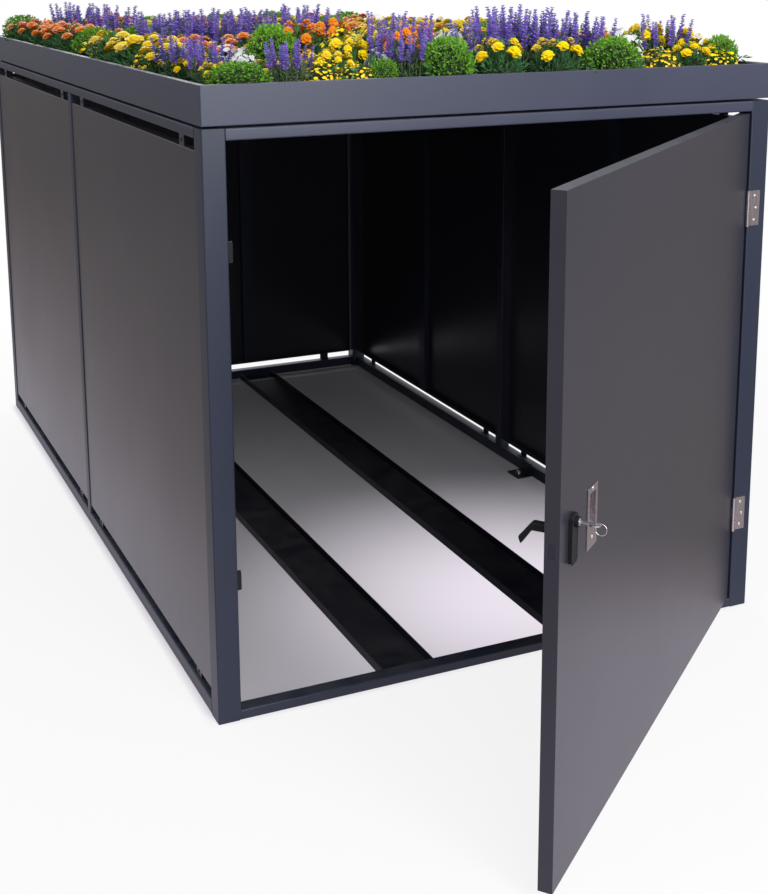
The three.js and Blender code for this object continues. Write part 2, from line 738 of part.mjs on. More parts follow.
function addCylinder() {
  const center = [lockX, lockHeight];
  const throughPlate = [doorFaceY - seam - escutcheonThickness - overrun, doorFaceY];
  const hole = rod(1, cylinderRadius + seam, throughPlate, center, fineSides);
  const blank = roundedPlate(escutcheonWidth, escutcheonHeight, escutcheonRound, escutcheonThickness);
  const squareFoot = block(around(lockX, escutcheonWidth),
    [doorFaceY - seam - escutcheonThickness, doorFaceY - seam],
    [lockHeight - escutcheonDrop - escutcheonHeight / 2, lockHeight - escutcheonDrop]);
  const plate = plateOnDoor(blank, lockX, lockHeight - escutcheonDrop).add(squareFoot);
  addPiece(doorLeaf, 'escutcheon', plate.subtract(hole), blackPlastic);

  const boreSpan = [cylinderFrontY - overrun, cylinderBackY + overrun];
  const bore = rod(1, plugRadius + seam, boreSpan, center, fineSides);
  const body = rod(1, cylinderRadius, [cylinderFrontY, cylinderBackY], center, fineSides);
  addPiece(doorLeaf, 'cylinder_body', body.subtract(bore), blackPlastic);

  const plugFront = cylinderFrontY - seam;
  const camSpan = [cylinderBackY + seam, cylinderBackY + seam + camThickness];
  const plug = rod(1, plugRadius, [plugFront, camSpan[1]], center, fineSides);
  const cam = block(around(lockX, camWidth), camSpan, [lockHeight - camReach, lockHeight]);
  const keywaySpan = [plugFront - overrun, plugFront + keywayDepth];
  const keyway = block(around(lockX, keywayWidth), keywaySpan, around(lockHeight, keywayHeight));
  addPiece(doorLeaf, 'lock_plug', plug.add(cam).subtract(keyway), stainless);
}

const bowFrontY = cylinderFrontY - seam - bowStandoff;
const bowY = bowFrontY - bowRadius;
const bowEndY = bowY - bowRadius;
const bowHoleY = bowEndY + bowRim + bowHoleRadius;
const ringY = bowEndY + bowRim / 2 - ringLean;

function addKey() {
  const bladeSpan = [bowY, bowFrontY + bowStandoff + bladeLength];
  const blade = block(around(lockX, bladeWidth), bladeSpan, around(lockHeight, bladeThickness));
  const bow = rod(2, bowRadius, around(lockHeight, bowThickness), [lockX, bowY], fineSides);
  const throughBow = around(lockHeight, bowThickness + 2 * overrun);
  const hole = rod(2, bowHoleRadius, throughBow, [lockX, bowHoleY], fineSides);
  addPiece(doorLeaf, 'key', blade.add(bow).subtract(hole), zincSteel);

  const ring = new THREE.TorusGeometry(ringRadius, ringWire, wireSides, ringSides);
  ring.rotateY(Math.PI / 2);
  ring.translate(lockX, ringY, lockHeight - ringDrop);
  addPiece(doorLeaf, 'key_ring', solidFrom(ring), stainless);
}

// The lever stands on its own spindle below the cylinder and is cranked downwards
function addInnerLever() {
  const spot = [lockX, leverZ];
  const roseY = [doorBackY + seam, doorBackY + seam + roseThickness];
  const hole = rod(1, spindleRadius + seam, [roseY[0] - overrun, roseY[1] + overrun], spot);
  addPiece(doorLeaf, 'lever_rose', rod(1, roseRadius, roseY, spot, fineSides).subtract(hole), blackPlastic);

  const hubY = [roseY[1] + seam, roseY[1] + seam + leverHubLength];
  const spindle = rod(1, spindleRadius, [caseBackY - lockCaseWall - spindleEntry, hubY[1]], spot);
  const hub = rod(1, leverHubRadius, hubY, spot);
  const half = leverThickness / 2;
  const elbow = leverReach - leverTipReach;
  const outline = new THREE.Shape();
  outline.moveTo(0, -half);
  outline.lineTo(elbow, -half);
  outline.lineTo(leverReach - half, -leverDrop);
  outline.lineTo(leverReach, -leverDrop + half);
  outline.lineTo(elbow + half / 2, half);
  outline.lineTo(0, half);
  const arm = new THREE.ExtrudeGeometry(outline, { depth: leverWidth, bevelEnabled: false });
  arm.translate(0, 0, -leverWidth / 2);
  arm.rotateX(Math.PI / 2);
  arm.rotateZ(Math.PI / 2);
  arm.translate(lockX, hubY[0], leverZ);
  addPiece(doorLeaf, 'inner_lever', joined([spindle, hub, solidFrom(arm)]), blackPlastic);
}

addPosts();
addRails();
addMidPosts();
addSidePanels();
addRearPanel();
addWheelChannels();
addAnchors();
addRoofBeams();
addRoofTray();
addBed();
addPlanting();
addDoorStops();
addPostLeaves();
addDoorLeaves();
addDoorShell();
addFlushPull();
addLockCase();
addCylinder();
addKey();
addInnerLever();

export default locker;
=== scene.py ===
import json
import math
import random

import bpy
from mathutils import Matrix, Vector

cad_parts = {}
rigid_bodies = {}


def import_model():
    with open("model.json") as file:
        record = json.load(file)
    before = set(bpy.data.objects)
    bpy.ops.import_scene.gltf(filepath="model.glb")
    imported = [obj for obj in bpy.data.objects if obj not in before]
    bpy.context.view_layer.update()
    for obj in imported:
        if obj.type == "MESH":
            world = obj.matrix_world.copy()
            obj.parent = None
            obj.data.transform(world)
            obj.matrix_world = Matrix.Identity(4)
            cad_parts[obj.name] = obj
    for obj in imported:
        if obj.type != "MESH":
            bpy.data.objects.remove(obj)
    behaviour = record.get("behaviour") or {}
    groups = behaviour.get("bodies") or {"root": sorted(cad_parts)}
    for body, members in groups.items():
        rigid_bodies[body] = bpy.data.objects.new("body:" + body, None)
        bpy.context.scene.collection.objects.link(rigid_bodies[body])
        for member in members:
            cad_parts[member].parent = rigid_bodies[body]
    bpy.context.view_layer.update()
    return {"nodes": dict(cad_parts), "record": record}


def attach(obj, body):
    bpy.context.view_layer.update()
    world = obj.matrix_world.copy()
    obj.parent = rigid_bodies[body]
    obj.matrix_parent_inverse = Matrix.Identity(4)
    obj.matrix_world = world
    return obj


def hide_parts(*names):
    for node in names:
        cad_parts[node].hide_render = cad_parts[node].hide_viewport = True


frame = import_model()
print("frame loaded,", len(frame["nodes"]), "solids")

door = {
    "hinge": (0.571, -0.0218, 0.0),        # foot of the door's axis
    "openDegrees": 39,
}
hingeMatrix = Matrix.Translation(door["hinge"]) @ Matrix.Rotation(math.radians(door["openDegrees"]), 4, "Z")
shading = {"edgeDegrees": 40, "smoothDegrees": 35}
squareOn = 0.9                             # how much of an axis a face's normal needs to count as facing it


# Selecting, shaping and placing

def deselectAll():
    for thing in bpy.context.view_layer.objects:
        thing.select_set(False)


def activate(*things):
    if bpy.context.object and bpy.context.object.mode != "OBJECT":
        bpy.ops.object.mode_set(mode="OBJECT")
    deselectAll()
    for thing in things:
        thing.select_set(True)
    bpy.context.view_layer.objects.active = things[0]


def objectMode():
    bpy.ops.object.mode_set(mode="OBJECT")


def editAll(thing):
    activate(thing)
    bpy.ops.object.mode_set(mode="EDIT")
    bpy.ops.mesh.select_all(action="SELECT")


def pick(thing, kind, wanted):
    # goes into edit mode with only the wanted corners, edges or faces selected
    activate(thing)
    mesh = thing.data
    for parts in (mesh.vertices, mesh.edges, mesh.polygons):
        parts.foreach_set("select", [False] * len(parts))
    bpy.context.tool_settings.mesh_select_mode = (kind == "VERT", kind == "EDGE", kind == "FACE")
    if kind == "VERT":
        for corner in mesh.vertices:
            corner.select = bool(wanted(corner.co))
    if kind == "EDGE":
        for edge in mesh.edges:
            a, b = (mesh.vertices[i] for i in edge.vertices)
            if wanted(a.co, b.co):
                edge.select = a.select = b.select = True
    if kind == "FACE":
        for face in mesh.polygons:
            face.select = bool(wanted(face.center, face.normal))
    bpy.ops.object.mode_set(mode="EDIT")


def named(name):
    thing = bpy.context.object
    thing.name = thing.data.name = name
    bpy.ops.object.transform_apply(location=True, rotation=True, scale=True)
    return thing


def newBox(name, low, high):
    deselectAll()
    middle = [(a + b) / 2 for a, b in zip(low, high)]
    bpy.ops.mesh.primitive_cube_add(size=1, location=middle, scale=[b - a for a, b in zip(low, high)])
    return named(name)


def newRod(name, radius, start, end, sides=32):
    deselectAll()
    start, end = Vector(start), Vector(end)
    turn = (end - start).to_track_quat("Z", "Y").to_euler()
    bpy.ops.mesh.primitive_cylinder_add(vertices=sides, radius=radius, depth=(end - start).length,
                                        location=(start + end) / 2, rotation=turn)
    return named(name)


def modify(thing, kind, **settings):
    activate(thing)
    modifier = thing.modifiers.new(kind.lower(), kind)
    for key, value in settings.items():
        setattr(modifier, key, value)
    bpy.ops.object.modifier_apply(modifier=modifier.name)


def softenEdges(thing, width, segments=2):
    modify(thing, "BEVEL", width=width, segments=segments, limit_method="ANGLE",
           angle_limit=math.radians(shading["edgeDegrees"]), use_clamp_overlap=True)


def cutAway(thing, *cutters):
    for cutter in cutters:
        modify(thing, "BOOLEAN", operation="DIFFERENCE", object=cutter, solver="EXACT")
        bpy.data.objects.remove(cutter)


def fuse(thing, *parts):
    for part in parts:
        modify(thing, "BOOLEAN", operation="UNION", object=part, solver="EXACT")
        bpy.data.objects.remove(part)


def joinAll(name, things):
    activate(*things)
    if len(things) > 1:
        bpy.ops.object.join()
    thing = bpy.context.object
    thing.name = thing.data.name = name
    return thing


def twinOf(thing, name, place=None):
    twin = bpy.data.objects.new(name, thing.data.copy())
    bpy.context.scene.collection.objects.link(twin)
    if place is not None:
        twin.data.transform(place)
    return twin


def dress(thing, material):
    thing.data.materials.clear()
    thing.data.materials.append(material)
    return thing


def settle(thing, body, nodes=(), weighted=True):
    # smooth shading, then the body it rides on and the solids it stands for
    activate(thing)
    bpy.ops.object.shade_smooth_by_angle(angle=math.radians(shading["smoothDegrees"]))
    if weighted:
        modify(thing, "WEIGHTED_NORMAL", keep_sharp=True, weight=50)
    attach(thing, body)
    if nodes:
        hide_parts(*nodes)
    return thing


def onDoor(thing):
    thing.data.transform(hingeMatrix)
    return thing


# Shader groups that several finishes share

def newGroup(name, inputs, outputs):
    group = bpy.data.node_groups.new(name, "ShaderNodeTree")
    for label, value in inputs.items():
        group.interface.new_socket(label, in_out="INPUT", socket_type="NodeSocketFloat").default_value = value
    for label in outputs:
        group.interface.new_socket(label, in_out="OUTPUT", socket_type="NodeSocketFloat")
    return group, group.nodes.new("NodeGroupInput"), group.nodes.new("NodeGroupOutput")


def newNode(tree, kind, inputs=None, **settings):
    node = tree.nodes.new(kind)
    for key, value in settings.items():
        setattr(node, key, value)
    for key, value in (inputs or {}).items():
        if isinstance(value, bpy.types.NodeSocket):
            tree.links.new(value, node.inputs[key])
        else:
            node.inputs[key].default_value = value
    return node


def mathNode(tree, operation, a, b, clamp=False):
    return newNode(tree, "ShaderNodeMath", {0: a, 1: b}, operation=operation, use_clamp=clamp).outputs[0]


def times(tree, a, b, clamp=False):
    return mathNode(tree, "MULTIPLY", a, b, clamp)


def mixColor(tree, mask, a, b):
    return newNode(tree, "ShaderNodeMix", {0: mask, 6: a, 7: b}, data_type="RGBA").outputs[2]


def objectPlace(tree):
    return newNode(tree, "ShaderNodeTexCoord").outputs["Object"]


def along(tree, vector, axis):
    return newNode(tree, "ShaderNodeSeparateXYZ", {0: vector}).outputs[axis]


def noise(tree, place, scale, detail, roughness=0.5):
    values = {"Vector": place, "Scale": scale, "Detail": detail, "Roughness": roughness}
    return newNode(tree, "ShaderNodeTexNoise", values).outputs["Fac"]


def ranged(tree, value, start, end, low=0, high=1, shape="LINEAR"):
    # low at the start value, high at the end value, and held beyond them
    values = {"Value": value, "From Min": start, "From Max": end, "To Min": low, "To Max": high}
    return newNode(tree, "ShaderNodeMapRange", values, interpolation_type=shape).outputs[0]


def bumpOf(tree, height, strength, distance):
    values = {"Height": height, "Strength": strength, "Distance": distance}
    return newNode(tree, "ShaderNodeBump", values).outputs[0]


surface = {
    "grain": {"Scale": 700, "Patch Scale": 3},
    "grainDetail": 3,
    "patchDetail": (4, 0.6),
    "wear": {"Width": 0.002, "Amount": 0.5},
    "edge": (0.98, 0.8),                   # likeness of the rounded and the flat normal, from sound to worn
    "chips": (90, 5),
    "chipped": (0.4, 0.62),
    "dust": {"Amount": 0.3, "Scale": 12},
    "dustFacing": (0.3, 1),
    "dustDetail": (8, 0.7),
    "dusty": (0.35, 0.75),
}


def buildGrainGroup():
    group, start, end = newGroup("coatGrain", surface["grain"], ("Height", "Patches"))
    place = objectPlace(group)
    fine = noise(group, place, start.outputs["Scale"], surface["grainDetail"])
    broad = noise(group, place, start.outputs["Patch Scale"], *surface["patchDetail"])
    group.links.new(fine, end.inputs["Height"])
    group.links.new(broad, end.inputs["Patches"])
    return group


def buildWearGroup():
    group, start, end = newGroup("edgeWear", surface["wear"], ("Mask",))
    rounded = newNode(group, "ShaderNodeBevel", {"Radius": start.outputs["Width"]}, samples=4).outputs[0]
    flat = newNode(group, "ShaderNodeNewGeometry").outputs["Normal"]
    likeness = newNode(group, "ShaderNodeVectorMath", {0: rounded, 1: flat}, operation="DOT_PRODUCT")
    edge = ranged(group, likeness.outputs["Value"], *surface["edge"])
    chips = ranged(group, noise(group, objectPlace(group), *surface["chips"]), *surface["chipped"])
    worn = times(group, times(group, edge, chips), start.outputs["Amount"], True)
    group.links.new(worn, end.inputs["Mask"])
    return group


def buildDustGroup():
    group, start, end = newGroup("settledDust", surface["dust"], ("Mask",))
    flat = newNode(group, "ShaderNodeNewGeometry").outputs["Normal"]
    upward = ranged(group, along(group, flat, "Z"), *surface["dustFacing"])
    speckle = noise(group, objectPlace(group), start.outputs["Scale"], *surface["dustDetail"])
    speckle = ranged(group, speckle, *surface["dusty"])
    dusty = times(group, times(group, upward, speckle), start.outputs["Amount"], True)
    group.links.new(dusty, end.inputs["Mask"])
    return group


grainGroup = buildGrainGroup()
wearGroup = buildWearGroup()
dustGroup = buildDustGroup()


# Finishes

def newMaterial(name):
    material = bpy.data.materials.new(name)
    material.use_nodes = True
    return material, material.node_tree


def useGroup(tree, group, **values):
    node = tree.nodes.new("ShaderNodeGroup")
    node.node_tree = group
    for key, value in values.items():
        node.inputs[key].default_value = value
    return node.outputs


def wired(material, color, rough, normal, specular=0.5, metallic=0):
    tree = material.node_tree
    shader = tree.nodes["Principled BSDF"]
    tree.links.new(color, shader.inputs["Base Color"])
    tree.links.new(rough, shader.inputs["Roughness"])
    tree.links.new(normal, shader.inputs["Normal"])
    shader.inputs["Specular IOR Level"].default_value = specular
    shader.inputs["Metallic"].default_value = metallic
    return material


def toned(base, share, lift=0):
    return tuple(min(1, channel * share + lift) for channel in base[:3]) + (1,)


coat = {
    "darker": 0.86,                        # tones of the soft patches and of rubbed edges, against the base
    "lighter": (1.18, 0.002),
    "rubbed": (2.2, 0.03),
    "dust": (0.3, 0.28, 0.26, 1),
    "dustRoughness": 0.4,
    "swing": 0.05,                         # of the roughness, to both sides
    "depth": 0.0004,
}


def powderCoat(name, base, roughness, grain=700, bump=0.05, wear=0.35, dust=0.25):
    # a satin powder coat: fine orange peel, soft patches, pale rubbed edges, dust on what faces up
    material, tree = newMaterial(name)
    peel = useGroup(tree, grainGroup, Scale=grain)
    wearMask = useGroup(tree, wearGroup, Amount=wear)["Mask"]
    dustMask = useGroup(tree, dustGroup, Amount=dust)["Mask"]
    color = mixColor(tree, peel["Patches"], toned(base, coat["darker"]), toned(base, *coat["lighter"]))
    color = mixColor(tree, wearMask, color, toned(base, *coat["rubbed"]))
    color = mixColor(tree, dustMask, color, coat["dust"])
    rough = ranged(tree, peel["Patches"], 0, 1, roughness - coat["swing"], roughness + coat["swing"])
    rough = mathNode(tree, "ADD", rough, times(tree, dustMask, coat["dustRoughness"]), True)
    return wired(material, color, rough, bumpOf(tree, peel["Height"], bump, coat["depth"]))


brushing = {
    "stretch": (900, 900, 30),
    "lines": (1, 3),
    "stains": (160, 4),
    "stained": (0.45, 0.7),
    "stainShare": 0.28,
    "dull": 0.62,
    "edge": {"Width": 0.0008, "Amount": 0.2},
    "bright": (0.9, 0.9, 0.9, 1),
    "lineRange": (0.25, 0.75),
    "bump": (0.12, 0.0002),
}


def brushedMetal(name, base, stretch, roughness, spread):
    # drawn lines along one direction, with small darker stains
    material, tree = newMaterial(name)
    place = objectPlace(tree)
    drawn = newNode(tree, "ShaderNodeMapping", {"Vector": place, "Scale": stretch}).outputs[0]
    lines = noise(tree, drawn, *brushing["lines"])
    stains = ranged(tree, noise(tree, place, *brushing["stains"]), *brushing["stained"])
    wearMask = useGroup(tree, wearGroup, **brushing["edge"])["Mask"]
    color = mixColor(tree, times(tree, stains, brushing["stainShare"]), base, toned(base, brushing["dull"]))
    color = mixColor(tree, wearMask, color, brushing["bright"])
    rough = ranged(tree, lines, *brushing["lineRange"], roughness - spread / 2, roughness + spread / 2)
    return wired(material, color, rough, bumpOf(tree, lines, *brushing["bump"]), metallic=1)


speckling = {"roughness": 0.7, "spots": (0.35, 0.65), "swing": 0.1}


def speckled(name, dark, light, scale, roughness, bump, distance=0.001, detail=6, specular=0.5):
    # soil, felt, rubber and moulded plastic: two tones in a fine grain with matching bump
    material, tree = newMaterial(name)
    grain = noise(tree, objectPlace(tree), scale, detail, speckling["roughness"])
    color = mixColor(tree, ranged(tree, grain, *speckling["spots"]), dark, light)
    rough = ranged(tree, grain, 0, 1, roughness - speckling["swing"], min(1, roughness + speckling["swing"]))
    return wired(material, color, rough, bumpOf(tree, grain, bump, distance), specular)


growth = {
    # painted light: the heights over which the planting turns from dark to pale
    "heights": (1.2, 1.28),
    "own": 0.45,                           # shares of the leaf's own tone, of the painted light that pales it higher up, and of its veins
    "height": 0.4,
    "veins": 0.25,
    "veinDetail": 3,
    "tips": (0.7, 1),
    "tipShare": 0.6,
    "swing": (0.08, 0.12),
    "bump": (0.3, 0.001),
    "specular": 0.3,
}


def leafy(name, dark, light, roughness=0.55, scale=70, tip=None):
    # each leaf or petal has its own tone; painted light makes the planting paler towards its top and painted
    # shade darker lower down
    material, tree = newMaterial(name)
    place = objectPlace(tree)
    own = newNode(tree, "ShaderNodeNewGeometry").outputs["Random Per Island"]
    # painted light and shade: paler higher up in the bed, darker low down
    height = ranged(tree, along(tree, place, "Z"), *growth["heights"])
    veins = noise(tree, place, scale, growth["veinDetail"])
    tone = mathNode(tree, "ADD", times(tree, own, growth["own"]), times(tree, height, growth["height"]))
    tone = mathNode(tree, "ADD", tone, times(tree, veins, growth["veins"]), True)
    color = mixColor(tree, tone, dark, light)
    if tip:
        tips = ranged(tree, own, *growth["tips"])
        color = mixColor(tree, times(tree, tips, growth["tipShare"]), color, tip)
    smoother, rougher = growth["swing"]
    rough = ranged(tree, veins, 0, 1, roughness - smoother, roughness + rougher)
    return wired(material, color, rough, bumpOf(tree, veins, *growth["bump"]), growth["specular"])


finishes = {
    "frame_steel": powderCoat("frameCoat", (0.021, 0.028, 0.053, 1), 0.42),
    # painted light: a paler copy of the frame coat for the roof tray and lintel, standing in for the light
    # falling on the fascia
    "trayCoat": powderCoat("trayCoat", (0.044, 0.05, 0.085, 1), 0.42),
    "panel_steel": powderCoat("sheetCoat", (0.028, 0.028, 0.04, 1), 0.3, 700, 0.04, 0.25, 0.15),
    "dark_steel": powderCoat("darkCoat", (0.015, 0.016, 0.028, 1), 0.46, 600, 0.08, 0.4, 0.2),
    "stainless": brushedMetal("brushedStainless", (0.62, 0.575, 0.6, 1), brushing["stretch"], 0.28, 0.16),
    "zinc_steel": brushedMetal("zincPlate", (0.72, 0.73, 0.75, 1), (260, 260, 260), 0.3, 0.2),
    "black_plastic": speckled("mouldedBlack", (0.008, 0.008, 0.009, 1), (0.016, 0.016, 0.018, 1),
                              900, 0.5, 0.08, 0.0004, specular=0.2),
    "rubber": speckled("blackRubber", (0.006, 0.006, 0.006, 1), (0.016, 0.016, 0.015, 1),
                       500, 0.8, 0.2, 0.0005),
    "drainage_mat": speckled("feltedMat", (0.01, 0.011, 0.012, 1), (0.05, 0.052, 0.055, 1), 400, 0.85, 0.6),
    "substrate": speckled("darkSoil", (0.012, 0.008, 0.005, 1), (0.07, 0.045, 0.028, 1),
                          120, 0.9, 0.9, 0.004, 9),
    "shrubLeaf": leafy("boxLeaf", (0.028, 0.11, 0.008, 1), (0.2, 0.5, 0.035, 1), tip=(0.38, 0.68, 0.07, 1)),
    "marigoldLeaf": leafy("marigoldLeaf", (0.016, 0.065, 0.028, 1), (0.12, 0.32, 0.1, 1)),
    "salviaLeaf": leafy("salviaLeaf", (0.03, 0.07, 0.035, 1), (0.2, 0.3, 0.13, 1)),
    # painted shade: the near-black inside of every clump
    "coreShade": speckled("innerGrowth", (0.004, 0.012, 0.003, 1), (0.012, 0.035, 0.008, 1),
                          160, 0.8, 0.8, 0.003),
    "yellowPetal": leafy("yellowPetal", (1.0, 0.58, 0.0, 1), (1.0, 0.86, 0.0, 1), 0.5, 160),
    "orangePetal": leafy("orangePetal", (0.85, 0.13, 0.0, 1), (1.0, 0.36, 0.01, 1), 0.5, 160),
    "violetPetal": leafy("violetPetal", (0.13, 0.065, 0.38, 1), (0.4, 0.27, 0.88, 1), 0.6, 160),
    "whitePetal": leafy("whitePetal", (0.55, 0.58, 0.55, 1), (0.9, 0.9, 0.88, 1), 0.5, 160),
}
print("finishes ready,", len(finishes))

slotOf = {row["node"]: row["material_slot"] for row in frame["record"]["subparts"]}
bodyOf = {node: body for body, members in frame["record"]["behaviour"]["bodies"].items() for node in members}
for node, solid in frame["nodes"].items():
    if slotOf[node] in finishes:
        dress(solid, finishes[slotOf[node]])


# Steelwork: each solid gets a copy with rolled corners and soft edges

def pieceName(node):
    first, *rest = node.split("_")
    return first + "".join(word.capitalize() for word in rest)


steel = {
    "tubeCorner": 0.0028,
    "fold": 0.0016,
    "fine": 0.0005,
    "skinEdge": 0.0007,
    "rubberEdge": 0.001,
    "pullEdge": 0.0004,
    "longEdge": 0.3,
    "merge": 0.00001,
    "flatDegrees": 0.5,
    "touch": 0.00002,                      # closer than this counts as the same place
    "shortest": 0.001,
}


def fit(thing, node, finish=None):
    # a finished piece takes the finish, the body and the place of the solid it stands for
    dress(thing, finishes[finish or slotOf[node]])
    if bodyOf[node] != "frame":
        onDoor(thing)
    settle(thing, bodyOf[node], (node,))


def mergedCopy(node):
    thing = twinOf(frame["nodes"][node], pieceName(node))
    if bodyOf[node] != "frame":
        thing.data.transform(hingeMatrix.inverted())
    editAll(thing)
    bpy.ops.mesh.customdata_custom_splitnormals_clear()
    bpy.ops.mesh.remove_doubles(threshold=steel["merge"])
    bpy.ops.mesh.dissolve_limited(angle_limit=math.radians(steel["flatDegrees"]))
    objectMode()
    return thing


def boxOf(thing):
    places = [corner.co for corner in thing.data.vertices]
    return ([min(p[i] for p in places) for i in range(3)], [max(p[i] for p in places) for i in range(3)])


def cornerEdges(thing, axis):
    # the edges along one axis that lie at the corners of the piece's box
    low, high = boxOf(thing)
    others = [i for i in range(3) if i != axis]
    touch = steel["touch"]

    def wanted(a, b):
        if abs(a[axis] - b[axis]) < steel["shortest"]:
            return False
        return all(abs(a[i] - b[i]) < touch and min(abs(a[i] - low[i]), abs(a[i] - high[i])) < touch
                   for i in others)
    return wanted


def faceEdges(thing, axis, side):
    # the long edges around the face that looks out along one axis
    ends = boxOf(thing)
    plane = ends[1 if side > 0 else 0][axis]

    def wanted(a, b):
        flush = all(abs(end[axis] - plane) < steel["touch"] for end in (a, b))
        return flush and (a - b).length > steel["longEdge"]
    return wanted


def softCopy(node, fine, picks=(), finish=None):
    thing = mergedCopy(node)
    for wantedEdges, radius in picks:
        pick(thing, "EDGE", wantedEdges(thing))
        bpy.ops.mesh.bevel(offset=radius, segments=3, affect="EDGES")
        objectMode()
    softenEdges(thing, fine)
    fit(thing, node, finish)


def rolled(axis):
    return (lambda thing: cornerEdges(thing, axis), steel["tubeCorner"])


def foldedFace(axis, side):
    return (lambda thing: faceEdges(thing, axis, side), steel["fold"])


# the nodes in the order they are made, with their rolled corners and folds
for node in ("post_front_left", "post_front_right", "post_rear_left", "post_rear_right",
             "mid_post_left", "mid_post_right"):
    softCopy(node, steel["fine"], [rolled(2)])
for node in ("front_sill", "rear_bottom_rail", "rear_top_rail", "roof_beam_1", "roof_beam_2", "roof_beam_3"):
    softCopy(node, steel["fine"], [rolled(0)])
# the lintel takes the paler coat of painted light
softCopy("front_lintel", steel["fine"], [rolled(0)], "trayCoat")
for node in ("left_bottom_rail", "left_top_rail", "right_bottom_rail", "right_top_rail"):
    softCopy(node, steel["fine"], [rolled(1)])
for side, word in ((-1, "left"), (1, "right")):
    for place in ("front", "rear"):
        softCopy(f"panel_{word}_{place}", steel["fine"], [foldedFace(0, side)])
        softCopy(f"stiffener_{word}_{place}", steel["fine"])
    for part in ("rear_rib", "wheel_channel", "anchor_angle"):
        softCopy(f"{part}_{word}", steel["fine"])
softCopy("panel_rear", steel["fine"], [foldedFace(1, 1)])
# the roof tray takes the paler coat of painted light
softCopy("roof_tray", steel["fine"], [rolled(2), foldedFace(2, 1), foldedFace(2, -1)], "trayCoat")
softCopy("door_outer_skin", steel["skinEdge"])
for node in ("door_inner_sheet", "door_stiffener_1", "door_stiffener_2", "lock_case", "lock_bolt",
             "stop_tab_lower", "stop_tab_upper"):
    softCopy(node, steel["fine"])
for node in ("stop_buffer_lower", "stop_buffer_upper"):
    softCopy(node, steel["rubberEdge"])
softCopy("flush_pull", steel["pullEdge"])
print("steelwork softened")


# Turned and drilled hardware

def turned(name, profile, sides):
    # a round piece drawn up from a disc: each step of the profile is a radius and a height
    deselectAll()
    (radius, height), *steps = profile
    bpy.ops.mesh.primitive_circle_add(vertices=sides, radius=radius, fill_type="NGON",
                                      location=(0, 0, height))
    thing = named(name)
    editAll(thing)
    for nextRadius, nextHeight in steps:
        bpy.ops.mesh.extrude_region_move(TRANSFORM_OT_translate={"value": (0, 0, nextHeight - height)})
        bpy.ops.transform.resize(value=(nextRadius / radius, nextRadius / radius, 1),
                                 center_override=(0, 0, nextHeight))
        radius, height = nextRadius, nextHeight
    bpy.ops.mesh.select_all(action="SELECT")
    bpy.ops.mesh.normals_make_consistent(inside=False)
    objectMode()
    return thing


def facing(place, direction):
    # stands a piece drawn along Z on a spot, looking along a direction
    return Matrix.Translation(place) @ Vector(direction).to_track_quat("Z", "Y").to_matrix().to_4x4()


def roundCorners(thing, axis, radius, wanted, segments):
    edges = cornerEdges(thing, axis)
    pick(thing, "EDGE", lambda a, b: edges(a, b) and wanted((a + b) / 2))
    bpy.ops.mesh.bevel(offset=radius, segments=segments, affect="EDGES")
    objectMode()
    return thing


fastener = {
    "head": (0.0036, 0.0016, 0.0018),      # radius, height and socket radius
    "sheetHead": (0.0042, 0.0018, 0.0022),
    "dome": ((1, 0), (1, 0.3), (0.93, 0.62), (0.72, 0.88), (0.4, 1)),    # shares of the radius and the height
    "socketDepth": 0.65,                   # share of the height
    "headEdge": 0.00012,
    "hexagon": (0.013, 0.0055),            # across the flats, and height
    "washer": (0.0095, 0.0016),
    "boltEdges": (0.0006, 0.0003),
    "sunk": 0.0002,                        # how far a head sits into its hole's rim
}


def screwHead(name, radius, height, socket):
    # a low domed head with a hexagonal socket
    head = turned(name, [(radius * wide, height * tall) for wide, tall in fastener["dome"]], sides=24)
    floor = height * (1 - fastener["socketDepth"])
    cutAway(head, newRod("socket", socket, (0, 0, floor), (0, 0, height * 2), sides=6))
    softenEdges(head, fastener["headEdge"], 1)
    return head


def hexBolt(name, across, height):
    # a hexagon head with chamfered corners on a plain washer
    washer, lift = fastener["washer"]
    under = turned(name, [(washer, 0), (washer, lift)], sides=32)
    head = newRod("head", across / 2 / math.cos(math.pi / 6), (0, 0, lift), (0, 0, lift + height), sides=6)
    softenEdges(head, fastener["boltEdges"][0], 2)
    softenEdges(under, fastener["boltEdges"][1], 1)
    return joinAll(name, [under, head])


smallScrew = dress(screwHead("smallScrew", *fastener["head"]), finishes["stainless"])
sheetScrew = dress(screwHead("sheetScrew", *fastener["sheetHead"]), finishes["dark_steel"])
groundBolt = dress(hexBolt("groundBolt", *fastener["hexagon"]), finishes["zinc_steel"])


def fix(name, template, spots, direction, body):
    # copies of one fastener at several places, all looking the same way
    twins = []
    for place in spots:
        seat = Vector(place) - Vector(direction) * fastener["sunk"]
        twins.append(twinOf(template, name, facing(seat, direction)))
    thing = joinAll(name, twins)
    if body != "frame":
        onDoor(thing)
    return settle(thing, body)


# Hinges

hinge = {
    "middles": {"lower": 0.22246, "upper": 0.908},
    "half": 0.0375,
    "axis": (0.571, -0.0218),
    "knuckle": 0.0045,
    "bore": 0.0025,
    "overrun": 0.05,                       # of the drill past the leaf's middle
    "pin": (0.0022, 0.003608, 0.0030),     # radius, head radius and the head's chamfered radius
    "pinSteps": (0.0003, 0.0011, 0.0015),
    "split": 0.0125,
    "gap": 0.0003,                         # between two knuckles
    "soft": 0.00025,
    "postPlate": ((0.5758, -0.0193), (0.603, -0.0173)),
    "postRoot": ((0.571, -0.0193), (0.5763, -0.0173)),
    "doorPlate": ((-0.0007, 0.0051), (0.0013, 0.0218)),
    "doorRoot": ((-0.0007, 0.0), (0.0013, 0.0061)),
    "postScrews": ((0.59036, -0.026), (0.59436, 0), (0.59036, 0.026)),
    "doorScrews": ((0.01334, -0.026), (0.01734, 0), (0.01334, 0.026)),
}


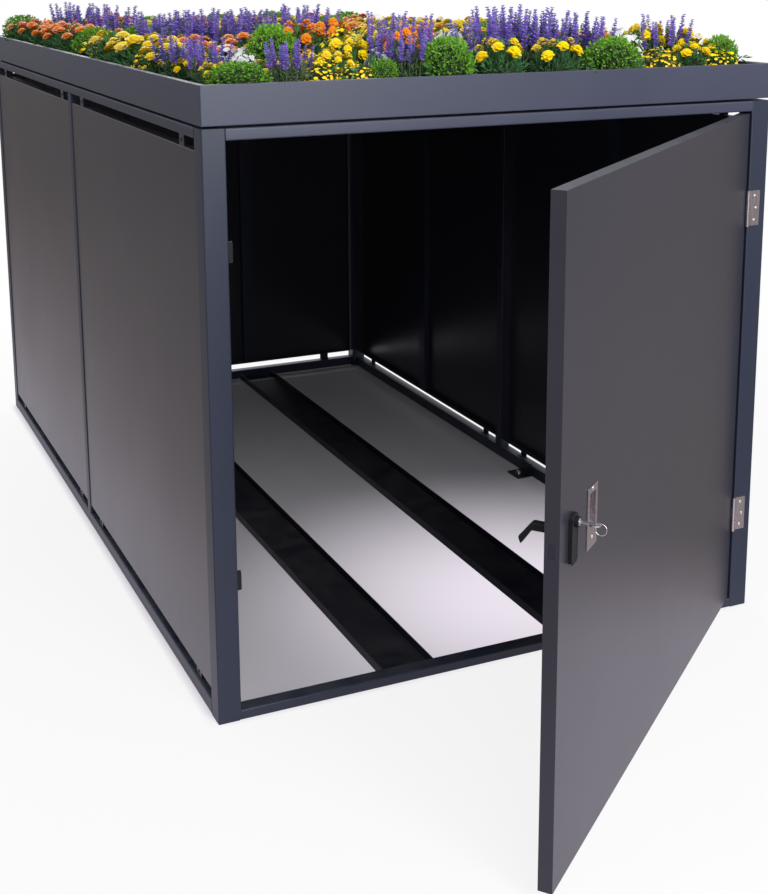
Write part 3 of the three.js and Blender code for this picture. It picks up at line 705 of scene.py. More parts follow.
def hingeLeaf(name, plate, root, knuckles, axis):
    # a stamped plate with its root rolled round the pin
    half, overrun = hinge["half"], hinge["overrun"]
    (x0, y0), (x1, y1) = plate
    (a0, b0), (a1, b1) = root
    leaf = newBox(name, (x0, y0, -half), (x1, y1, half))
    for bottom, top in knuckles:
        fuse(leaf, newBox("root", (a0, b0, bottom), (a1, b1, top)),
             newRod("barrel", hinge["knuckle"], (*axis, bottom), (*axis, top)))
    cutAway(leaf, newRod("bore", hinge["bore"], (*axis, -overrun), (*axis, overrun)))
    softenEdges(leaf, hinge["soft"], 2)
    return leaf


def hingePin():
    # a pin with a low chamfered head at both ends
    half, (thin, wide, tip) = hinge["half"], hinge["pin"]
    step, edge, end = hinge["pinSteps"]
    lower = [(tip, -half - end), (wide, -half - edge), (wide, -half - step), (thin, -half - step)]
    upper = [(radius, -height) for radius, height in reversed(lower)]
    return turned("pin", lower + upper, sides=24)


def addHinges():
    half, split, gap = hinge["half"], hinge["split"], hinge["gap"]
    postLeaf = hingeLeaf("postLeaf", hinge["postPlate"], hinge["postRoot"],
                         ((-half, -split), (split, half)), hinge["axis"])
    doorLeaf = hingeLeaf("doorLeaf", hinge["doorPlate"], hinge["doorRoot"],
                         ((-split + gap, split - gap),), (0, 0))
    pin = hingePin()
    postFace, doorFace = hinge["postPlate"][0][1], hinge["doorPlate"][1][0]
    for place, middle in hinge["middles"].items():
        word = "hinge" + place.capitalize()
        up = Matrix.Translation((0, 0, middle))
        fit(twinOf(postLeaf, word + "PostLeaf", up), f"hinge_{place}_post_leaf")
        fit(twinOf(doorLeaf, word + "DoorLeaf", up), f"hinge_{place}_door_leaf")
        fit(twinOf(pin, word + "Pin", Matrix.Translation((*hinge["axis"], middle))), f"hinge_{place}_pin")
        spots = [(x, postFace, middle + z) for x, z in hinge["postScrews"]]
        fix(word + "PostScrews", smallScrew, spots, (0, -1, 0), "frame")
        spots = [(doorFace, y, middle + z) for y, z in hinge["doorScrews"]]
        fix(word + "DoorScrews", smallScrew, spots, (1, 0, 0), "door")
    for template in (postLeaf, doorLeaf, pin):
        bpy.data.objects.remove(template)


addHinges()
print("hinges made")


# Lock, key and inner lever

lock = {
    "x": -1.092,
    "z": 0.611,
    "plate": ((-1.105, -0.0015, 0.5475), (-1.079, 0.0045, 0.6235)),
    "plateCorners": ((0.009, 10), (0.0012, 3)),    # radius and steps of the upper and the lower ones
    "plateRim": ((0.0016, 0), (0.0006, -0.0005)),
    "plateEdge": (0.0005, 3),
    "plateHole": 0.0088,
    "dimple": (0.0017, 0.0009),            # radius and depth of the marks below the lock
    "dimpleRow": (0.572, 0.0048, 5),       # first height, step and number
    "dimpleStart": 0.002,                  # how far in front of the plate their cutter starts
    "cylinder": (0.0085, -0.0085, 0.0195),
    "cylinderBore": 0.0063,
    "plug": (0.006, -0.0088, 0.0223),
    "chamfers": (0.0008, 0.0005),          # of the cylinder and of the plug
    "plugEdge": 0.00015,
    "cam": ((-1.095, 0.0198, 0.595), (-1.089, 0.0223, 0.611)),
    "keyway": ((-1.0963, -0.02, 0.6097), (-1.0877, 0.0152, 0.6123)),
    "drills": {"plate": (-0.02, 0.02), "cylinder": (-0.01, 0.05), "key": 0.01, "rose": 0.01},
}
key = {
    "blade": ((-1.096, -0.0318, 0.61), (-1.088, 0.0132, 0.612)),
    "teeth": (0.0016, 0.0028, 0.0012, 0.0024, 0.0018),
    "toothRow": (0.0095, -0.0052),         # place of the first cut, and the step
    "toothRadius": 0.0024,
    "bladeEdge": -1.096,
    "edge": 0.00035,
    "groove": ((-1.0922, -0.012, 0.6116), (-1.0906, 0.02, 0.621)),
    "bow": (0.009, -0.0318, 0.001),        # radius, middle and half thickness
    "bowHole": (0.0035, -0.0353),
    "ring": (0.009, 0.0008),
    "ringSteps": (64, 14),                 # round the ring and round its wire
    "ringMiddle": (-1.092, -0.0403, 0.6045),
}


def alongDoor(x, y, z):
    # turns a piece drawn along Z so that it runs into the door
    return Matrix.Translation((x, y, z)) @ Matrix.Rotation(math.radians(-90), 4, "X")


def addLockPlate():
    x, z = lock["x"], lock["z"]
    low, high = lock["plate"]
    plate = newBox("escutcheon", low, high)
    upper, lower = lock["plateCorners"]
    roundCorners(plate, 1, upper[0], lambda place: place.z > z, upper[1])
    roundCorners(plate, 1, lower[0], lambda place: place.z < z, lower[1])
    start, end = lock["drills"]["plate"]
    cutAway(plate, newRod("hole", lock["plateHole"], (x, start, z), (x, end, z), sides=48))
    pick(plate, "FACE", lambda center, normal: normal.y < -squareOn)
    for thickness, depth in lock["plateRim"]:
        bpy.ops.mesh.inset(thickness=thickness, depth=depth)
    objectMode()
    softenEdges(plate, *lock["plateEdge"])
    radius, depth = lock["dimple"]
    first, step, count = lock["dimpleRow"]
    front = low[1] - lock["plateRim"][1][1]
    for index in range(count):
        height = first - step * index
        start = front - lock["dimpleStart"]
        cutAway(plate, newRod("dimple", radius, (x, start, height), (x, front + depth, height), sides=4))
    fit(plate, "escutcheon")


def addCylinder():
    x, z = lock["x"], lock["z"]
    bodyChamfer, plugChamfer = lock["chamfers"]
    radius, front, back = lock["cylinder"]
    body = turned("cylinderBody", [(radius - bodyChamfer, 0), (radius, bodyChamfer),
                                   (radius, back - front)], sides=48)
    start, end = lock["drills"]["cylinder"]
    cutAway(body, newRod("bore", lock["cylinderBore"], (0, 0, start), (0, 0, end), sides=48))
    body.data.transform(alongDoor(x, front, z))
    fit(body, "cylinder_body")

    radius, front, back = lock["plug"]
    camDepth = lock["cam"][1][1] - lock["cam"][0][1]
    plug = turned("lockPlug", [(radius - plugChamfer, 0), (radius, plugChamfer),
                               (radius, back - front - camDepth), (radius, back - front)], sides=40)
    plug.data.transform(alongDoor(x, front, z))
    fuse(plug, newBox("cam", *lock["cam"]))
    cutAway(plug, newBox("keyway", *lock["keyway"]))
    softenEdges(plug, lock["plugEdge"], 1)
    fit(plug, "lock_plug")


def addKey():
    x, z, reach = lock["x"], lock["z"], lock["drills"]["key"]
    radius, bowY, half = key["bow"]
    blade = newBox("key", *key["blade"])
    first, step = key["toothRow"]
    toothRadius = key["toothRadius"]
    for index, depth in enumerate(key["teeth"]):
        y = first + index * step
        side = key["bladeEdge"] - toothRadius + depth
        cutAway(blade, newRod("tooth", toothRadius, (side, y, z - reach), (side, y, z + reach), sides=12))
    cutAway(blade, newBox("groove", *key["groove"]))
    bow = newRod("bow", radius, (x, bowY, z - half), (x, bowY, z + half), sides=48)
    holeRadius, holeY = key["bowHole"]
    cutAway(bow, newRod("bowHole", holeRadius, (x, holeY, z - reach), (x, holeY, z + reach), sides=24))
    fuse(blade, bow)
    softenEdges(blade, key["edge"], 2)
    fit(blade, "key")

    deselectAll()
    major, minor = key["ring"]
    aroundRing, aroundWire = key["ringSteps"]
    bpy.ops.mesh.primitive_torus_add(major_radius=major, minor_radius=minor, major_segments=aroundRing,
                                     minor_segments=aroundWire, location=key["ringMiddle"],
                                     rotation=(0, math.radians(90), 0))
    fit(named("keyRing"), "key_ring")


lever = {
    "x": -1.092,
    "z": 0.593,
    "rose": [(0.0146, 0.0), (0.016, 0.0008), (0.016, 0.0024), (0.0148, 0.0036), (0.0122, 0.004)],
    "roseFront": 0.0291,
    "roseHole": 0.0043,
    "spindle": (0.004, 0.0240, 0.0424),
    "hub": [(0.0082, 0.0), (0.009, 0.0008), (0.009, 0.0082), (0.0082, 0.009)],
    "hubFront": 0.0334,
    "arm": ((-1.1, 0.0334, 0.5865), (-1.084, 0.0654, 0.5995)),
    "tipStep": (0, 0.021, -0.026),
    "tipFrom": (0.0664, 0.5665),           # corners behind and below this are drawn back by the next value
    "tipTuck": (0, -0.004, 0.0015),
    "armEdge": 0.0028,
    "armDegrees": 30,
}


def addLever():
    x, z, reach = lever["x"], lever["z"], lock["drills"]["rose"]
    rose = turned("leverRose", lever["rose"], sides=48)
    cutAway(rose, newRod("hole", lever["roseHole"], (0, 0, -reach), (0, 0, reach), sides=32))
    rose.data.transform(alongDoor(x, lever["roseFront"], z))
    fit(rose, "lever_rose")

    arm = newBox("innerLever", *lever["arm"])
    behind, below = lever["tipFrom"]
    pick(arm, "FACE", lambda center, normal: normal.y > squareOn)
    bpy.ops.mesh.extrude_region_move(TRANSFORM_OT_translate={"value": lever["tipStep"]})
    objectMode()
    pick(arm, "VERT", lambda place: place.y > behind and place.z < below)
    bpy.ops.transform.translate(value=lever["tipTuck"])
    objectMode()
    modify(arm, "BEVEL", width=lever["armEdge"], segments=4, limit_method="ANGLE",
           angle_limit=math.radians(lever["armDegrees"]))
    hub = turned("hub", lever["hub"], sides=40)
    hub.data.transform(alongDoor(x, lever["hubFront"], z))
    radius, front, back = lever["spindle"]
    fuse(arm, hub, newRod("spindle", radius, (x, front, z), (x, back, z), sides=24))
    fit(arm, "inner_lever")


addLockPlate()
addCylinder()
addKey()
addLever()
print("lock made")


# Screws and ground bolts

screwSpots = {
    "pull": (-0.998, 0.003, (0.5505, 0.6295)),
    "panelFace": 0.614,
    "panelRows": (0.126, 0.969, 1.197, 2.04),
    "panelHeights": (0.0419, 1.1031),
    "rear": (2.177, (-0.477, 0.477)),
    "midPost": (0.59, 1.083, (0.25, 0.57, 0.9)),
    "channel": (0.207, (0.12, 0.8, 1.48, 2.1), 0.002),
    "ground": (0.5652, 0.913, 0.004),
}


def addFasteners():
    x, y, heights = screwSpots["pull"]
    fix("pullScrews", smallScrew, [(x, y, z) for z in heights], (0, -1, 0), "door")
    heights = screwSpots["panelHeights"]
    for side, word in ((-1, "Left"), (1, "Right")):
        spots = [(side * screwSpots["panelFace"], y, z) for y in screwSpots["panelRows"] for z in heights]
        fix(f"panelScrews{word}", sheetScrew, spots, (side, 0, 0), "frame")
        x, y, rows = screwSpots["midPost"]
        spots = [(side * x, y, z) for z in rows]
        fix(f"midPostScrews{word}", sheetScrew, spots, (-side, 0, 0), "frame")
        x, rows, z = screwSpots["channel"]
        spots = [(side * x, y, z) for y in rows]
        fix(f"channelScrews{word}", sheetScrew, spots, (0, 0, 1), "frame")
        x, y, z = screwSpots["ground"]
        fix(f"groundBolt{word}", groundBolt, [(side * x, y, z)], (0, 0, 1), "frame")
    y, columns = screwSpots["rear"]
    spots = [(x, y, z) for x in columns for z in heights]
    fix("panelScrewsRear", sheetScrew, spots, (0, 1, 0), "frame")
    for template in (smallScrew, sheetScrew, groundBolt):
        bpy.data.objects.remove(template)


addFasteners()
print("fasteners made")


# Planting

garden = {
    "seed": 20,
    "soil": 1.19,
    "columns": (-0.539, 0.1347),
    "firstRow": 0.472,
    "rowStep": 0.1357,
    "wander": 0.012,
    "edge": 0.552,
    "spikeHeights": (0.96, 1.08),
    "otherHeights": (0.76, 0.94),
    "widths": (0.96, 1.12),
    # clumps near the front: kind, x, y, width and height against the template
    "front": (
        ("s", -0.525, 0.055, 1.00, 0.59), ("l", -0.426, 0.060, 0.70, 0.78), ("t", -0.368, 0.060, 0.77, 0.68),
        ("t", -0.300, 0.060, 0.69, 0.62), ("y", -0.319, 0.100, 0.59, 0.74), ("y", -0.352, 0.120, 0.49, 0.71),
        ("s", -0.237, 0.055, 0.46, 0.56), ("l", -0.178, 0.090, 0.73, 0.89), ("s", -0.104, 0.055, 0.90, 0.96),
        ("y", 0.017, 0.060, 0.81, 0.91), ("y", 0.144, 0.060, 0.82, 0.89), ("s", 0.273, 0.055, 0.98, 0.87),
        ("t", 0.387, 0.060, 0.76, 0.71), ("y", 0.474, 0.070, 0.69, 0.69), ("t", 0.533, 0.060, 0.78, 0.72),
        ("y", 0.570, 0.090, 0.61, 0.76), ("s", 0.570, 0.070, 0.62, 0.83), ("y", -0.253, 0.200, 0.70, 0.94),
        ("t", -0.207, 0.330, 0.82, 1.29), ("y", -0.164, 0.270, 0.58, 1.12), ("w", -0.213, 0.140, 0.49, 0.92),
        ("l", -0.162, 0.200, 0.72, 1.13), ("l", -0.100, 0.220, 0.74, 1.08), ("o", -0.155, 0.150, 0.62, 1.12),
        ("w", 0.012, 0.280, 0.78, 1.43), ("l", 0.030, 0.190, 0.81, 1.01), ("l", 0.079, 0.190, 0.89, 1.18),
        ("l", 0.136, 0.200, 0.94, 1.20), ("l", 0.185, 0.190, 0.90, 1.15), ("l", 0.244, 0.190, 0.88, 1.08),
        ("l", 0.297, 0.180, 0.81, 0.99), ("w", 0.391, 0.200, 0.80, 1.26), ("y", 0.477, 0.240, 0.75, 1.06),
        ("l", 0.499, 0.200, 0.83, 0.99), ("y", 0.570, 0.210, 0.73, 0.97), ("t", 0.570, 0.200, 0.82, 0.97),
        ("s", -0.330, 0.420, 0.91, 1.12), ("w", -0.459, 0.240, 0.66, 0.95), ("w", -0.495, 0.280, 0.60, 0.83),
        ("l", -0.542, 0.190, 0.65, 0.77), ("y", -0.548, 0.130, 0.44, 0.56), ("l", -0.548, 0.340, 0.79, 0.79),
        ("t", -0.548, 0.520, 0.9, 0.80), ("y", -0.548, 0.300, 0.47, 0.53), ("y", -0.548, 0.420, 0.49, 0.45),
        ("o", -0.253, 0.450, 0.85, 1.21), ("o", -0.164, 0.500, 0.78, 1.22), ("l", -0.191, 0.550, 0.88, 1.12),
        ("t", 0.060, 0.335, 0.90, 0.80), ("y", 0.180, 0.335, 0.90, 0.80), ("t", 0.300, 0.335, 0.90, 0.80),
        ("o", 0.420, 0.335, 0.90, 0.80), ("y", 0.530, 0.350, 0.85, 0.80), ("t", -0.080, 0.350, 0.85, 0.80),
        ("t", -0.430, 0.370, 0.80, 0.60), ("t", -0.310, 0.280, 0.85, 0.70), ("y", -0.430, 0.150, 0.70, 0.55),
        ("o", -0.420, 0.490, 0.80, 0.70), ("t", -0.060, 0.200, 0.80, 0.80), ("y", 0.340, 0.130, 0.60, 0.70),
    ),
    # the rows behind them, from the left to the right end
    "plan": ("ywostytyt", "ytystoyts", "yooyytwyt", "yllooytsy", "tlllstoyy", "sslltoyoy", "oosysotyt",
             "olytyloty", "owsotysyo", "olosytoty", "ooytsoyot", "oloyotsyo", "ssostysos"),
}
fullTurn = 6.28
goldenAngle = 2.39996
hair = 0.0001                              # corners of a leaf nearer than this to its middle lie on it
petalLift = 0.6                            # share of a frill by which the petals drawn in are lifted
twigForm = {
    "outward": (0.35, 0.9),                # along the twig: the first leaf, and more for the last
    "spread": 1.2,
    "roll": 0.6,
    "sizes": (0.8, 1.15),
}
rng = random.Random(garden["seed"])


def newLeaf(name, length, width, fold, finish):
    # a lozenge with its root at the origin, folded along its middle and hanging at the tip
    deselectAll()
    bpy.ops.mesh.primitive_circle_add(vertices=4, radius=0.5, fill_type="TRIFAN")
    leaf = named(name)
    leaf.data.transform(Matrix.Translation((length / 2, 0, 0)) @ Matrix.Diagonal((length, width, 1, 1)))
    pick(leaf, "VERT", lambda place: abs(place.y) < hair and place.x > hair)
    bpy.ops.transform.translate(value=(0, 0, -fold))
    objectMode()
    return dress(leaf, finishes[finish])


def newDisc(name, radius, petals, ruffle, cup, finish):
    # a frilled round of petals: every second rim point is drawn in and lifted
    deselectAll()
    bpy.ops.mesh.primitive_circle_add(vertices=petals * 2, radius=radius, fill_type="TRIFAN")
    disc = named(name)
    step = math.pi / petals

    def drawnIn(place):
        turn = math.atan2(place.y, place.x) / step
        return place.length > radius / 2 and round(turn) % 2 == 0
    pick(disc, "VERT", drawnIn)
    bpy.ops.transform.resize(value=(1 - ruffle, 1 - ruffle, 1), center_override=(0, 0, 0))
    bpy.ops.transform.translate(value=(0, 0, radius * ruffle * petalLift))
    objectMode()
    pick(disc, "VERT", lambda place: place.length < radius / 2)
    bpy.ops.transform.translate(value=(0, 0, cup))
    objectMode()
    return dress(disc, finishes[finish])


def spread(index, count, lowest):
    # directions shared evenly over a dome by the golden angle
    upward = 1 - (1 - lowest) * (index + 0.5) / count
    turn = index * goldenAngle
    flat = math.sqrt(max(0, 1 - upward * upward))
    return Vector((flat * math.cos(turn), flat * math.sin(turn), upward))


def stand(place, outward, roll, size):
    # X of the template runs outward, turned about itself by roll
    turn = Vector(outward).to_track_quat("X", "Z").to_matrix().to_4x4()
    return Matrix.Translation(place) @ turn @ Matrix.Rotation(roll, 4, "X") @ Matrix.Scale(size, 4)


def strew(name, template, places):
    # one piece of many copies; the piece that was copied is then put away
    copies = joinAll(name, [twinOf(template, name, place) for place in places])
    bpy.data.objects.remove(template)
    return copies


def jitter(amount):
    return Vector([rng.uniform(-amount, amount) for _ in range(3)])


def domePlaces(form, count, lowest, wide, middle, tall, lift):
    # twigs that stand out all round a dome, some deeper in it than others
    places = []
    for index in range(count):
        out = spread(index, count, lowest)
        depth = rng.uniform(*form["depth"])
        spot = Vector((out.x * wide * depth, out.y * wide * depth, middle + out.z * tall * depth))
        if form["stray"]:
            spot += jitter(form["stray"])
        outward = out + jitter(form["sway"]) + Vector((0, 0, lift))
        places.append(stand(spot, outward, rng.uniform(0, fullTurn), rng.uniform(*form["sizes"])))
    return places


def sprig(name, leaf, count, stem, lean):
    # leaves set round a short twig that runs along X
    first, rise = twigForm["outward"]
    roll = twigForm["roll"]
    places = []
    for index in range(count):
        share = index / max(1, count - 1)
        turn = index * goldenAngle
        aside = lean * (twigForm["spread"] - share)
        out = Vector((first + rise * share, math.cos(turn) * aside, math.sin(turn) * aside))
        twist = rng.uniform(-roll, roll)
        places.append(stand((stem * share, 0, 0), out, twist, rng.uniform(*twigForm["sizes"])))
    return strew(name, leaf, places)


def innerGrowth(radius, height, middle):
    # a dark round core of painted shade, so that no light shows through a clump
    deselectAll()
    bpy.ops.mesh.primitive_ico_sphere_add(subdivisions=2, radius=1)
    heart = named("heart")
    heart.data.transform(Matrix.Translation((0, 0, middle)) @ Matrix.Diagonal((radius, radius, height, 1)))
    return dress(heart, finishes["coreShade"])


shrub = {
    "leaf": (0.0078, 0.005, 0.001),        # length, width and fold
    "twig": (5, 0.009, 0.9),               # leaves, stem and lean
    "twigs": (330, -0.35),                 # number, and how low on the ball they start
    "reach": (0.052, 0.04, 0.048),         # half width, middle and half height
    "depth": (0.84, 1.02),
    "stray": 0.003,
    "sway": 0.6,
    "lift": 0.2,
    "sizes": (0.75, 1.1),
    "heart": (0.046, 0.042, 0.036),
}


def boxShrub():
    twig = sprig("twig", newLeaf("boxLeaf", *shrub["leaf"], "shrubLeaf"), *shrub["twig"])
    places = domePlaces(shrub, *shrub["twigs"], *shrub["reach"], shrub["lift"])
    return joinAll("boxShrub", [strew("leaves", twig, places), innerGrowth(*shrub["heart"])])


mound = {
    "fold": 0.14,                          # of a leaf, as a share of its length
    "twig": (6, 1.3, 0.7),                 # leaves, stem as a share of their length, and lean
    "lowest": 0.02,
    "foot": 0.008,
    "depth": (0.45, 1.0),
    "stray": 0,
    "sway": 0.5,
    "sizes": (0.7, 1.2),
}


def leafMound(leafName, radius, height, count, length, width, lift):
    leaf = newLeaf("leaf", length, width, length * mound["fold"], leafName)
    leaves, stem, lean = mound["twig"]
    twig = sprig("twig", leaf, leaves, length * stem, lean)
    places = domePlaces(mound, count, mound["lowest"], radius, mound["foot"], height, lift)
    return strew("foliage", twig, places)


bloom = {
    "radius": 0.0178,
    # width, rise and cup of each round, as shares of the radius
    "rounds": ((0.84, -0.24, -0.12), (1.0, 0.0, 0.06), (0.92, 0.22, 0.14), (0.72, 0.42, 0.2),
               (0.44, 0.58, 0.2)),
    "petals": (9, 0.2),
    "turn": 0.7,
    "cup": ((0.12, -0.75), (0.3, -0.5), (0.34, -0.2)),
    "stem": (0.07, -3, -0.7),
}


def pompon(name, radius, finish):
    # frilled rounds stacked into a dome, each turned, over a green cup on a stem
    rounds = []
    for index, (share, rise, cup) in enumerate(bloom["rounds"]):
        disc = newDisc("petals", radius * share, *bloom["petals"], radius * cup, finish)
        turn = Matrix.Rotation(index * bloom["turn"], 4, "Z")
        disc.data.transform(Matrix.Translation((0, 0, radius * rise)) @ turn)
        rounds.append(disc)
    cup = turned("cup", [(radius * wide, radius * high) for wide, high in bloom["cup"]], sides=7)
    thin, low, high = bloom["stem"]
    stem = newRod("stem", radius * thin, (0, 0, radius * low), (0, 0, radius * high), sides=4)
    green = [dress(part, finishes["marigoldLeaf"]) for part in (cup, stem)]
    return joinAll(name, rounds + green)


marigoldClump = {
    "foliage": (0.052, 0.052, 88, 0.018, 0.0056, 0.4),    # radius, height, twigs, leaf length, width and lift
    "flowers": (9, 0.3),                   # number, and how low on the dome they start
    "reach": (0.062, 0.044, 0.04),         # half width, foot and height of the dome of flowers
    "stray": 0.004,
    "lean": (0.7, 0.9, 0.25),              # outward, upward and sway
    "sizes": (0.8, 1.15),
    "heart": (0.042, 0.036, 0.012),
}


def marigold(finish):
    foliage = leafMound("marigoldLeaf", *marigoldClump["foliage"])
    head = pompon("bloom", bloom["radius"], finish)
    wide, low, tall = marigoldClump["reach"]
    outward, upward, sway = marigoldClump["lean"]
    count, lowest = marigoldClump["flowers"]
    places = []
    for index in range(count):
        out = spread(index, count, lowest)
        spot = Vector((out.x * wide, out.y * wide, low + out.z * tall)) + jitter(marigoldClump["stray"])
        lean = facing(spot, out * outward + Vector((0, 0, upward)) + jitter(sway))
        spin = Matrix.Rotation(rng.uniform(0, fullTurn), 4, "Z")
        places.append(lean @ spin @ Matrix.Scale(rng.uniform(*marigoldClump["sizes"]), 4))
    blooms = strew("blooms", head, places)
    return joinAll("marigold", [foliage, blooms, innerGrowth(*marigoldClump["heart"])])


tagetesClump = {
    "foliage": (0.055, 0.048, 34, 0.013, 0.004, 0.7),
    "flower": (0.005, 5, 0.3, 0.0014, "yellowPetal"),    # radius, petals, ruffle, cup and finish
    "flowers": (130, 0.1),
    "reach": (0.06, 0.014, 0.062),
    "stray": 0.005,
    "depth": (0.8, 1.12),
    "lean": (0.5, 0.5),                    # upward and sway
    "sizes": (0.7, 1.3),
    "heart": (0.04, 0.036, 0.01),
}
whiteClump = {
    "foliage": (0.055, 0.04, 30, 0.014, 0.005, 0.7),
    "flower": (0.0125, 5, 0.36, 0.001, "whitePetal"),
    "flowers": (52, 0.15),
    "reach": (0.056, 0.012, 0.056),
    "stray": 0.005,
    "depth": None,
    "lean": (0.6, 0.4),
    "sizes": (0.75, 1.15),
    "heart": (0.042, 0.034, 0.008),
}


def flatFlowers(name, clump):
    # a leafy mound under single rounds of petals
    foliage = leafMound("salviaLeaf", *clump["foliage"])
    flower = newDisc("flower", *clump["flower"])
    wide, low, tall = clump["reach"]
    upward, sway = clump["lean"]
    count, lowest = clump["flowers"]
    places = []
    for index in range(count):
        out = spread(index, count, lowest)
        depth = rng.uniform(*clump["depth"]) if clump["depth"] else 1
        spot = Vector((out.x * wide * depth, out.y * wide * depth, low + out.z * tall * depth))
        spot += jitter(clump["stray"])
        lean = facing(spot, out + Vector((0, 0, upward)) + jitter(sway))
        places.append(lean @ Matrix.Scale(rng.uniform(*clump["sizes"]), 4))
    flowers = strew("flowers", flower, places)
    return joinAll(name, [foliage, flowers, innerGrowth(*clump["heart"])])


salviaClump = {
    "foliage": (0.05, 0.045, 36, 0.02, 0.0056, 0.9),
    "floret": (0.0128, 0.0105, 0.0016),
    "whorls": (13, 5),                     # whorls on a spike, and florets in each
    "whorlTurns": (1.2566, 0.7),           # between two florets, and between two whorls
    "shrink": 0.5,
    "rise": (0.35, 0.9),
    "stray": 0.0012,
    "roll": 0.5,
    "floretSizes": (0.85, 1.1),
    "spikes": (12, 0.124, 0.052),          # number, height and spread
    "bareStem": 0.46,                      # share of the height below the first whorl
    "stemRadius": 0.0011,
    "lean": (1.1, 0.25, 0.012),
    "sizes": (0.8, 1.0),
    "heart": (0.036, 0.03, 0.006),
}


def spike(name, height, first):
    # a flower spike: whorls of small florets that shrink towards the tip, on a thin stem
    floret = newLeaf("floret", *salviaClump["floret"], "violetPetal")
    whorls, each = salviaClump["whorls"]
    floretTurn, whorlTurn = salviaClump["whorlTurns"]
    stray, roll = salviaClump["stray"], salviaClump["roll"]
    places = []
    for index in range(whorls):
        share = index / (whorls - 1)
        z = first + (height - first) * share
        size = 1.0 - salviaClump["shrink"] * share * share
        for step in range(each):
            turn = step * floretTurn + index * whorlTurn
            out = Vector((math.cos(turn), math.sin(turn), rng.uniform(*salviaClump["rise"])))
            spot = (0, 0, z + rng.uniform(-stray, stray))
            twist = rng.uniform(-roll, roll)
            places.append(stand(spot, out, twist, size * rng.uniform(*salviaClump["floretSizes"])))
    florets = strew("florets", floret, places)
    stem = newRod("stem", salviaClump["stemRadius"], (0, 0, 0), (0, 0, height), sides=4)
    return joinAll(name, [florets, dress(stem, finishes["salviaLeaf"])])


def salvia():
    count, height, spreadRadius = salviaClump["spikes"]
    outward, upward, sway = salviaClump["lean"]
    foliage = leafMound("salviaLeaf", *salviaClump["foliage"])
    stalk = spike("stalk", height, height * salviaClump["bareStem"])
    places = []
    for index in range(count):
        reach = spreadRadius * math.sqrt((index + 0.5) / count)
        turn = index * goldenAngle
        spot = Vector((reach * math.cos(turn), reach * math.sin(turn), 0))
        lean = Vector((spot.x * outward, spot.y * outward, upward)) + jitter(sway)
        spin = Matrix.Rotation(rng.uniform(0, fullTurn), 4, "Z")
        places.append(facing(spot, lean) @ spin @ Matrix.Scale(rng.uniform(*salviaClump["sizes"]), 4))
    stalks = strew("stalks", stalk, places)
    return joinAll("salvia", [foliage, stalks, innerGrowth(*salviaClump["heart"])])


cover = {
    "leaf": (0.018, 0.007, 0.003),
    "twig": (5, 0.014, 0.9),
    "twigs": 520,
    "area": (-0.585, 0.585, 0.01, 2.15),
    "height": (0.004, 0.03),
    "lift": 0.6,
    "sizes": (0.7, 1.2),
}


def groundCover():
    # loose leaves that cover the soil between the clumps
    twig = sprig("twig", newLeaf("leaf", *cover["leaf"], "marigoldLeaf"), *cover["twig"])
    x0, x1, y0, y1 = cover["area"]
    soil = garden["soil"]
    places = []
    for _ in range(cover["twigs"]):
        spot = Vector((rng.uniform(x0, x1), rng.uniform(y0, y1), soil + rng.uniform(*cover["height"])))
        outward = Vector((0, 0, cover["lift"])) + jitter(1)
        places.append(stand(spot, outward, rng.uniform(0, fullTurn), rng.uniform(*cover["sizes"])))
    return strew("groundLeaves", twig, places)


def plantGarden():
    templates = {
        "s": ("boxShrubs", boxShrub()),
        "y": ("yellowMarigolds", marigold("yellowPetal")),
        "o": ("orangeMarigolds", marigold("orangePetal")),
        "t": ("smallTagetes", flatFlowers("tagetes", tagetesClump)),
        "l": ("salvias", salvia()),
        "w": ("whiteFlowerbeds", flatFlowers("whiteFlowers", whiteClump)),
    }
    spots = {key: [] for key in templates}
    for key, x, y, wide, tall in garden["front"]:
        spots[key].append((x, y, wide, tall))
    firstX, stepX = garden["columns"]
    wander = garden["wander"]
    for row, line in enumerate(garden["plan"]):
        for column, key in enumerate(line):
            x = firstX + stepX * column + rng.uniform(-wander, wander)
            y = garden["firstRow"] + garden["rowStep"] * row + rng.uniform(-wander, wander)
            tall = rng.uniform(*garden["spikeHeights" if key == "l" else "otherHeights"])
            spots[key].append((x, y, rng.uniform(*garden["widths"]), tall))
    for key, (name, template) in templates.items():
        places = []
        for x, y, wide, tall in spots[key]:
            x = max(-garden["edge"], min(garden["edge"], x))
            size = Matrix.Diagonal((wide, wide, tall, 1))
            turn = Matrix.Rotation(rng.uniform(0, fullTurn), 4, "Z")
            places.append(Matrix.Translation((x, y, garden["soil"])) @ turn @ size)
        bed = strew(name, template, places)
        settle(bed, "frame", ("planting",), weighted=False)
        print(name, "planted,", len(places), "clumps,", len(bed.data.polygons), "faces")
    settle(groundCover(), "frame", ("planting",), weighted=False)


plantGarden()
print("planting made")


# Camera, light and ground

camera = {
    "place": (-1.3236, -2.3523, 1.4056),
    "yaw": 24.264,
    "pitch": -11.349,
    "roll": -0.274,
    "focalPixels": 1392.46,
    "horizonRow": 250.0,                   # the row that the lens looks straight at
    "longSide": 894,                       # of the picture, in pixels
    "sensor": 36,
    "farthest": 100,
}


